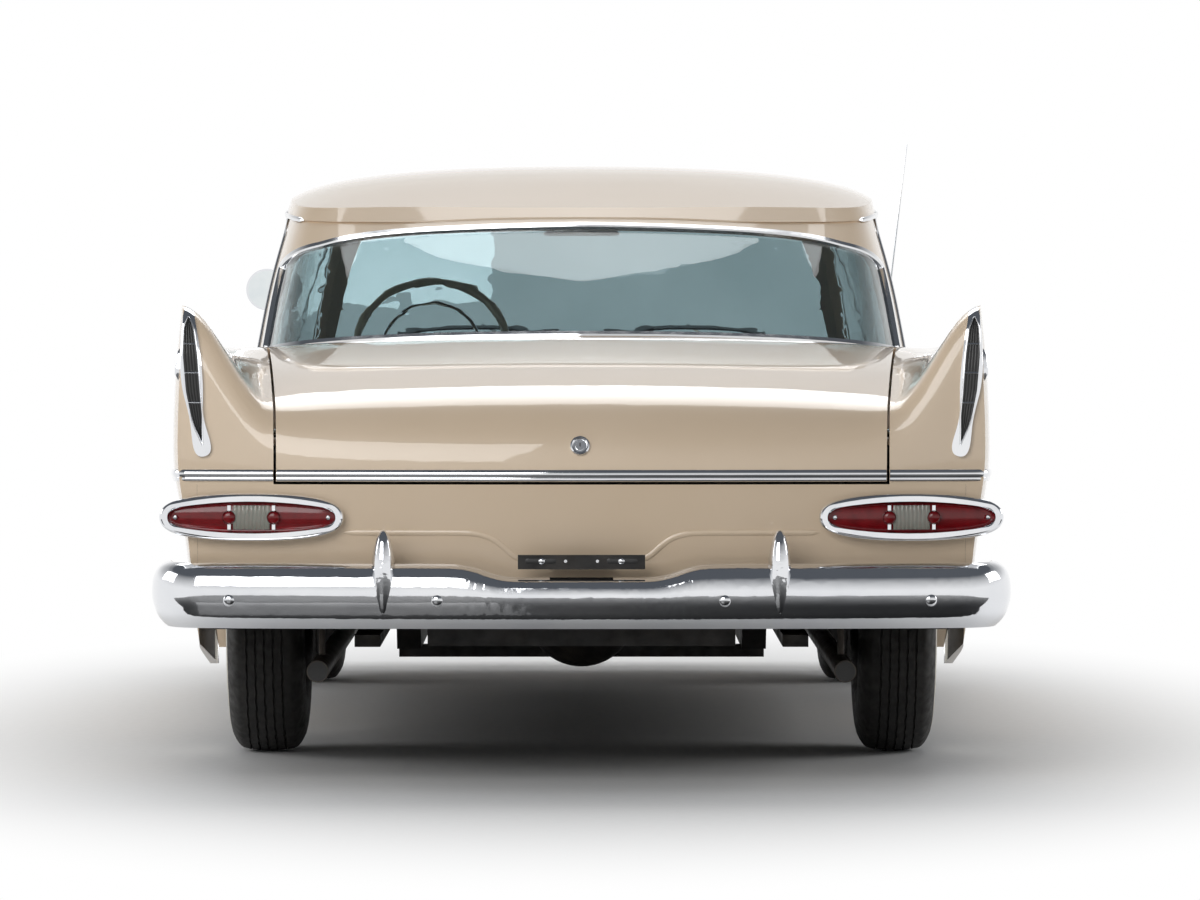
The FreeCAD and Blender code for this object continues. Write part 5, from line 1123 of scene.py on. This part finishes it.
def bench(end, bolsters, cloths, across, pleats):
    """A bench seat: a bolster with two pleated cloth panels, on the cushion and on the back. Each
    row gives place, half sizes and lean."""
    for name, middle, half, lean in bolsters:
        made = pad(f"{end}_{name}", middle, half, lean, BOLSTER)
        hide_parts(f"{end}_seat")
    for number, hand in enumerate((-1, 1)):
        for name, (x, z), half, lean in cloths:
            pad(f"{end}_{name}_cloth_{number}", (x, hand * across, z), half, lean, CLOTH, pleats)


def seats():
    """Both benches, on dark bases."""
    bench("front", (("cushion", (0.085, 0, 0.440), (0.235, 0.675, 0.062), -3),
                    ("squab", (-0.262, 0, 0.690), (0.225, 0.672, 0.050), 101)),
          (("cushion", (0.085, 0.459), (0.205, 0.275, 0.050), -3),
           ("squab", (-0.250, 0.694), (0.190, 0.275, 0.044), 101)), 0.335, 9)
    low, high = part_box("front_seat")
    block("front_seat_base", (low.x + 0.09, low.y + 0.02, low.z),
          (high.x - 0.03, high.y - 0.02, 0.40), BLACK, edge=20 * MM)
    bench("rear", (("cushion", (-0.800, 0, 0.530), (0.195, 0.600, 0.065), -12),
                   ("squab", (-1.040, 0, 0.745), (0.185, 0.600, 0.055), 104)),
          (("cushion", (-0.795, 0.549), (0.165, 0.240, 0.052), -12),
           ("squab", (-1.026, 0.749), (0.155, 0.240, 0.047), 104)), 0.290, 8)
    low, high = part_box("rear_seat")
    block("rear_seat_base", (-1.15, low.y + 0.02, 0.58), (-0.88, high.y - 0.02, 0.66), BLACK,
          edge=20 * MM)
    block("rear_seat_front", (-0.86, low.y + 0.02, low.z + 0.01), (-0.625, high.y - 0.02, 0.47),
          BLACK, edge=20 * MM)


DOOR_KNOB = ((0.020, 0), (0.020, 0.006), (0.012, 0.010), (0.009, 0.022), (0, 0.023))


def door_cards():
    """Trim panels on the doors: leathercloth with an armrest, a winder and a latch lever."""
    for hand, sign in HANDS:
        body, skin, outwards = rider(f"door_{hand}"), skin_of(f"door_{hand}"), Vector((0, sign, 0))
        rows = []
        for z in spread(0.36, 0.88, 30):
            origins = [(x, 0, z) for x in spread(DOOR_LOW.x + 0.045, DOOR_HIGH.x - 0.045, 60)]
            row = [place - outwards * 3 * MM for place, out in along_rays(skin, origins, outwards)]
            if len(row) == len(origins):
                rows.append(row)
        sheet(f"door_card_{hand}", rows, outwards * 2 * MM, BOLSTER, body)
        inner = rows[len(rows) // 2][30].y
        ends = sorted((inner - sign * 0.050, inner))
        block(f"armrest_{hand}", (-0.20, ends[0], 0.60), (0.16, ends[1], 0.655), BOLSTER, body,
              16 * MM, 5)
        for name, x, z, drop in (("winder", 0.27, 0.56, -0.03), ("latch", 0.31, 0.74, 0.012)):
            place = Vector((x, inner, z))
            lathe(f"{name}_boss_{hand}", DOOR_KNOB, place, -outwards, CHROME, body, 32)
            arm = straight(place, place + Vector((-0.09, 0, drop)), -outwards, 8)
            arm = [(point - outwards * 0.020, out) for point, out in arm]
            moulding(f"{name}_arm_{hand}", arm, 12, 6, CHROME, body)


WHEEL_RAKE = math.radians(32)
HORN_RADIUS, HORN_REACH, HORN_THICK = 0.128, 0.012, 0.0045
HORN_BOSS = ((0.036, 0.006), (0.036, 0.014), (0.031, 0.021), (0.018, 0.026), (0, 0.028))
DIAL_RIM = ((0.047, -0.004), (0.047, 0.006), (0.043, 0.009), (0.040, 0.006), (0.0395, 0.001))
DIAL_FACE = ((0.0395, 0.0), (0.0395, 0.0015), (0, 0.0018))
DIALS = ((0.30, 0.845), (0.40, 0.850), (0.50, 0.845), (0.0, 0.842))


def driving_gear():
    """Horn ring, wheel boss, dials and the strip along the dash."""
    hub, body = middle_of("steering_wheel"), rider("steering_wheel")
    axis = Vector((-math.cos(WHEEL_RAKE), 0, math.sin(WHEEL_RAKE)))
    side = axis.orthogonal().normalized()
    other = axis.cross(side)
    rings = []
    for angle in spread(0, math.tau, 9)[:-1]:
        radius = HORN_RADIUS + HORN_THICK * math.cos(angle)
        reach = HORN_REACH + HORN_THICK * math.sin(angle)
        rings.append([hub + axis * reach + (side * math.cos(turn) + other * math.sin(turn)) * radius
                      for turn in spread(0, math.tau, 65)[:-1]])
    hoop("horn_ring", rings, CHROME, body)
    lathe("horn_boss", HORN_BOSS, hub, axis, CHROME, body, 48)
    dash = skin_of("dashboard")
    for number, (y, z) in enumerate(DIALS):
        place, out = hit(dash, (-1.0, y, z), FORWARDS)
        lathe(f"dial_rim_{number}", DIAL_RIM, place, out, CHROME, steps=48, ring=True)
        lathe(f"dial_face_{number}", DIAL_FACE, place, out, BLACK, steps=48, slot="dash_paint")
    strip = along_rays(dash, [(-1.0, y, 0.80) for y in spread(-0.62, 0.62, 80)], FORWARDS)
    strip = [found for found in strip if found[0].x > 0.3]
    moulding("dash_strip", fair(strip, 14), 14, 4, STRIP, section=FLAT_TOP)


LINING_REAR, LINING_FRONT, LINING_HALF, SEAM_SPACING = -0.84, 0.38, 0.60, 0.30
UNDER_ROOF = 1.15


def roof_fittings():
    """Lining under the roof, two sun visors and the inside mirror."""
    rows = []
    for x in spread(LINING_REAR, LINING_FRONT, 40):
        seam = 2.5 * MM * max(0, math.cos((x - LINING_REAR) / SEAM_SPACING * math.tau)) ** 8
        origins = [(x, y, UNDER_ROOF) for y in spread(-LINING_HALF, LINING_HALF, 40)]
        row = [place - UP * (4 * MM + seam) for place, out in along_rays(ROOF, origins, UP)
               if place.z > 1.2]
        if len(row) == len(origins):
            rows.append(row)
    sheet("headlining", rows, UP * 1.5 * MM, HEADLINING)
    for hand, sign in HANDS:
        middle = hit(ROOF, (0.33, 0.34 * sign, UNDER_ROOF), UP)[0] - UP * 0.028
        pad(f"sun_visor_{hand}", middle, (0.075, 0.20, 0.011), 14, HEADLINING)
    middle = hit(ROOF, (0.36, 0, UNDER_ROOF), UP)[0] - UP * 0.085
    half = Vector((0.012, 0.105, 0.027))
    block("inside_mirror", middle - half, middle + half, CHROME, edge=11 * MM, segments=4)
    stem = ((0.005, 0), (0.005, 0.07), (0.012, 0.075), (0.012, 0.08), (0, 0.081))
    lathe("inside_mirror_stem", stem, middle, UP, CHROME, steps=20)


seats()
door_cards()
driving_gear()
roof_fittings()


# Stage: a pale floor that fades to white, soft lamps and a white surround

FLOOR_HALF = 60
SHADOW_LENGTH, SHADOW_WIDTH = 2.75, 1.15
LAMPS = (
    ("overhead_softbox", (2.6, 0, 5.2), 6.0, 4.5, 225),
    ("rear_softbox", (-7.5, 2.5, 3.2), 4.5, 3.0, 170),
    ("side_softbox", (0, -7.0, 3.0), 5.0, 2.5, 150),
    ("front_softbox", (8.0, 3.0, 3.0), 6.0, 4.0, 100),
    ("far_softbox", (0, 7.0, 3.0), 5.0, 2.5, 120),
)


def seamless_paper():
    """Pale studio paper. To the camera and to mirrors it fades to white away from the car, and near
    the car it shows the shadow."""
    material = bpy.data.materials.new("seamless_paper")
    material.use_nodes = True
    tree = material.node_tree
    paper = tree.nodes["Principled BSDF"]
    place = add(tree, "TexCoord").outputs["Object"]
    fibres = add(tree, "TexNoise", Vector=place, Scale=40)
    tone = add(tree, "Mix", {"data_type": "RGBA"}, Factor_Float=fibres.outputs[0],
               A_Color=linear("#D6D6D5"), B_Color=linear("#DEDEDD"))
    plug(tree, paper, {"Base_Color": tone.outputs[RESULT_COLOR], "Roughness": 0.9})
    rays = add(tree, "LightPath").outputs
    seen = add(tree, "Math", {"operation": "MAXIMUM"}, Value=rays["Is Camera Ray"],
               Value_001=rays["Is Glossy Ray"])
    oval = add(tree, "Mapping", Vector=place, Scale=(1 / SHADOW_LENGTH, 1 / SHADOW_WIDTH, 1))
    away = add(tree, "VectorMath", {"operation": "LENGTH"}, Vector=oval.outputs[0])
    fade = add(tree, "MapRange", {"interpolation_type": "SMOOTHSTEP"}, Value=away.outputs["Value"],
               From_Min=0.9, From_Max=1.9, To_Min=0.0, To_Max=1.0)
    share = add(tree, "Math", {"operation": "MULTIPLY"}, Value=seen.outputs[0],
                Value_001=fade.outputs[0])
    white = add(tree, "Emission", Color=linear("#FFFFFF"), Strength=1.0)
    mixed = add(tree, "MixShader", Fac=share.outputs[0], Shader=paper.outputs[0],
                Shader_001=white.outputs[0])
    plug(tree, tree.nodes["Material Output"], {"Surface": mixed.outputs[0]})
    SLOTS[material.name] = "body_paint"
    return material


def on_stage(name, low, high, up, material):
    """A flat sheet with no parent."""
    corners = [(low[0], low[1], up), (high[0], low[1], up), (high[0], high[1], up),
               (low[0], high[1], up)]
    made = piece(name, corners, [(0, 1, 2, 3)], material, smooth=False)
    made.parent = None
    return made


def surround():
    """A dim even light for the car. Camera, mirrors and glass see it white, and grey overhead."""
    world = bpy.data.worlds.new("studio")
    bpy.context.scene.world = world
    world.use_nodes = True
    tree = world.node_tree
    plug(tree, tree.nodes["Background"], {"Color": linear("#B8BCC2"), "Strength": 0.42})
    heading = add(tree, "SeparateXYZ", Vector=add(tree, "TexCoord").outputs["Generated"])
    rise = add(tree, "MapRange", Value=heading.outputs["Z"], From_Min=0.1, From_Max=0.6)
    tone = add(tree, "Mix", {"data_type": "RGBA"}, Factor_Float=rise.outputs[0],
               A_Color=linear("#FFFFFF"), B_Color=linear("#5A5E64"))
    white = add(tree, "Background", Color=tone.outputs[RESULT_COLOR], Strength=1.0)
    rays = add(tree, "LightPath").outputs
    clear = add(tree, "Math", {"operation": "MAXIMUM"}, Value=rays["Is Camera Ray"],
                Value_001=rays["Is Transmission Ray"])
    seen = add(tree, "Math", {"operation": "MAXIMUM"}, Value=rays["Is Glossy Ray"],
               Value_001=clear.outputs[0])
    mixed = add(tree, "MixShader", Fac=seen.outputs[0],
                Shader=tree.nodes["Background"].outputs[0], Shader_001=white.outputs[0])
    plug(tree, tree.nodes["World Output"], {"Surface": mixed.outputs[0]})


def studio():
    """Floor, flag, surround and lamps."""
    on_stage("studio_floor", (-FLOOR_HALF, -FLOOR_HALF), (FLOOR_HALF, FLOOR_HALF), 0,
             seamless_paper())
    # A black flag on the floor behind the car, which only reflections see
    flag = on_stage("studio_flag", (-11, -4.5), (-2.8, 4.5), 0.02, BLACK)
    for kind in ("camera", "diffuse", "transmission", "volume_scatter", "shadow"):
        setattr(flag, f"visible_{kind}", False)
    surround()
    for name, place, width, depth, watts in LAMPS:
        lamp = bpy.data.objects.new(name, bpy.data.lights.new(name, "AREA"))
        lamp.data.shape = "RECTANGLE"
        lamp.data.size, lamp.data.size_y, lamp.data.energy = width, depth, watts
        lamp.location = place
        bpy.context.scene.collection.objects.link(lamp)
        aim(lamp, Vector((0, 0, 0.7)))
        # Seen in the roof, this lamp would burn it out to white
        lamp.visible_glossy = name != "front_softbox"


studio()
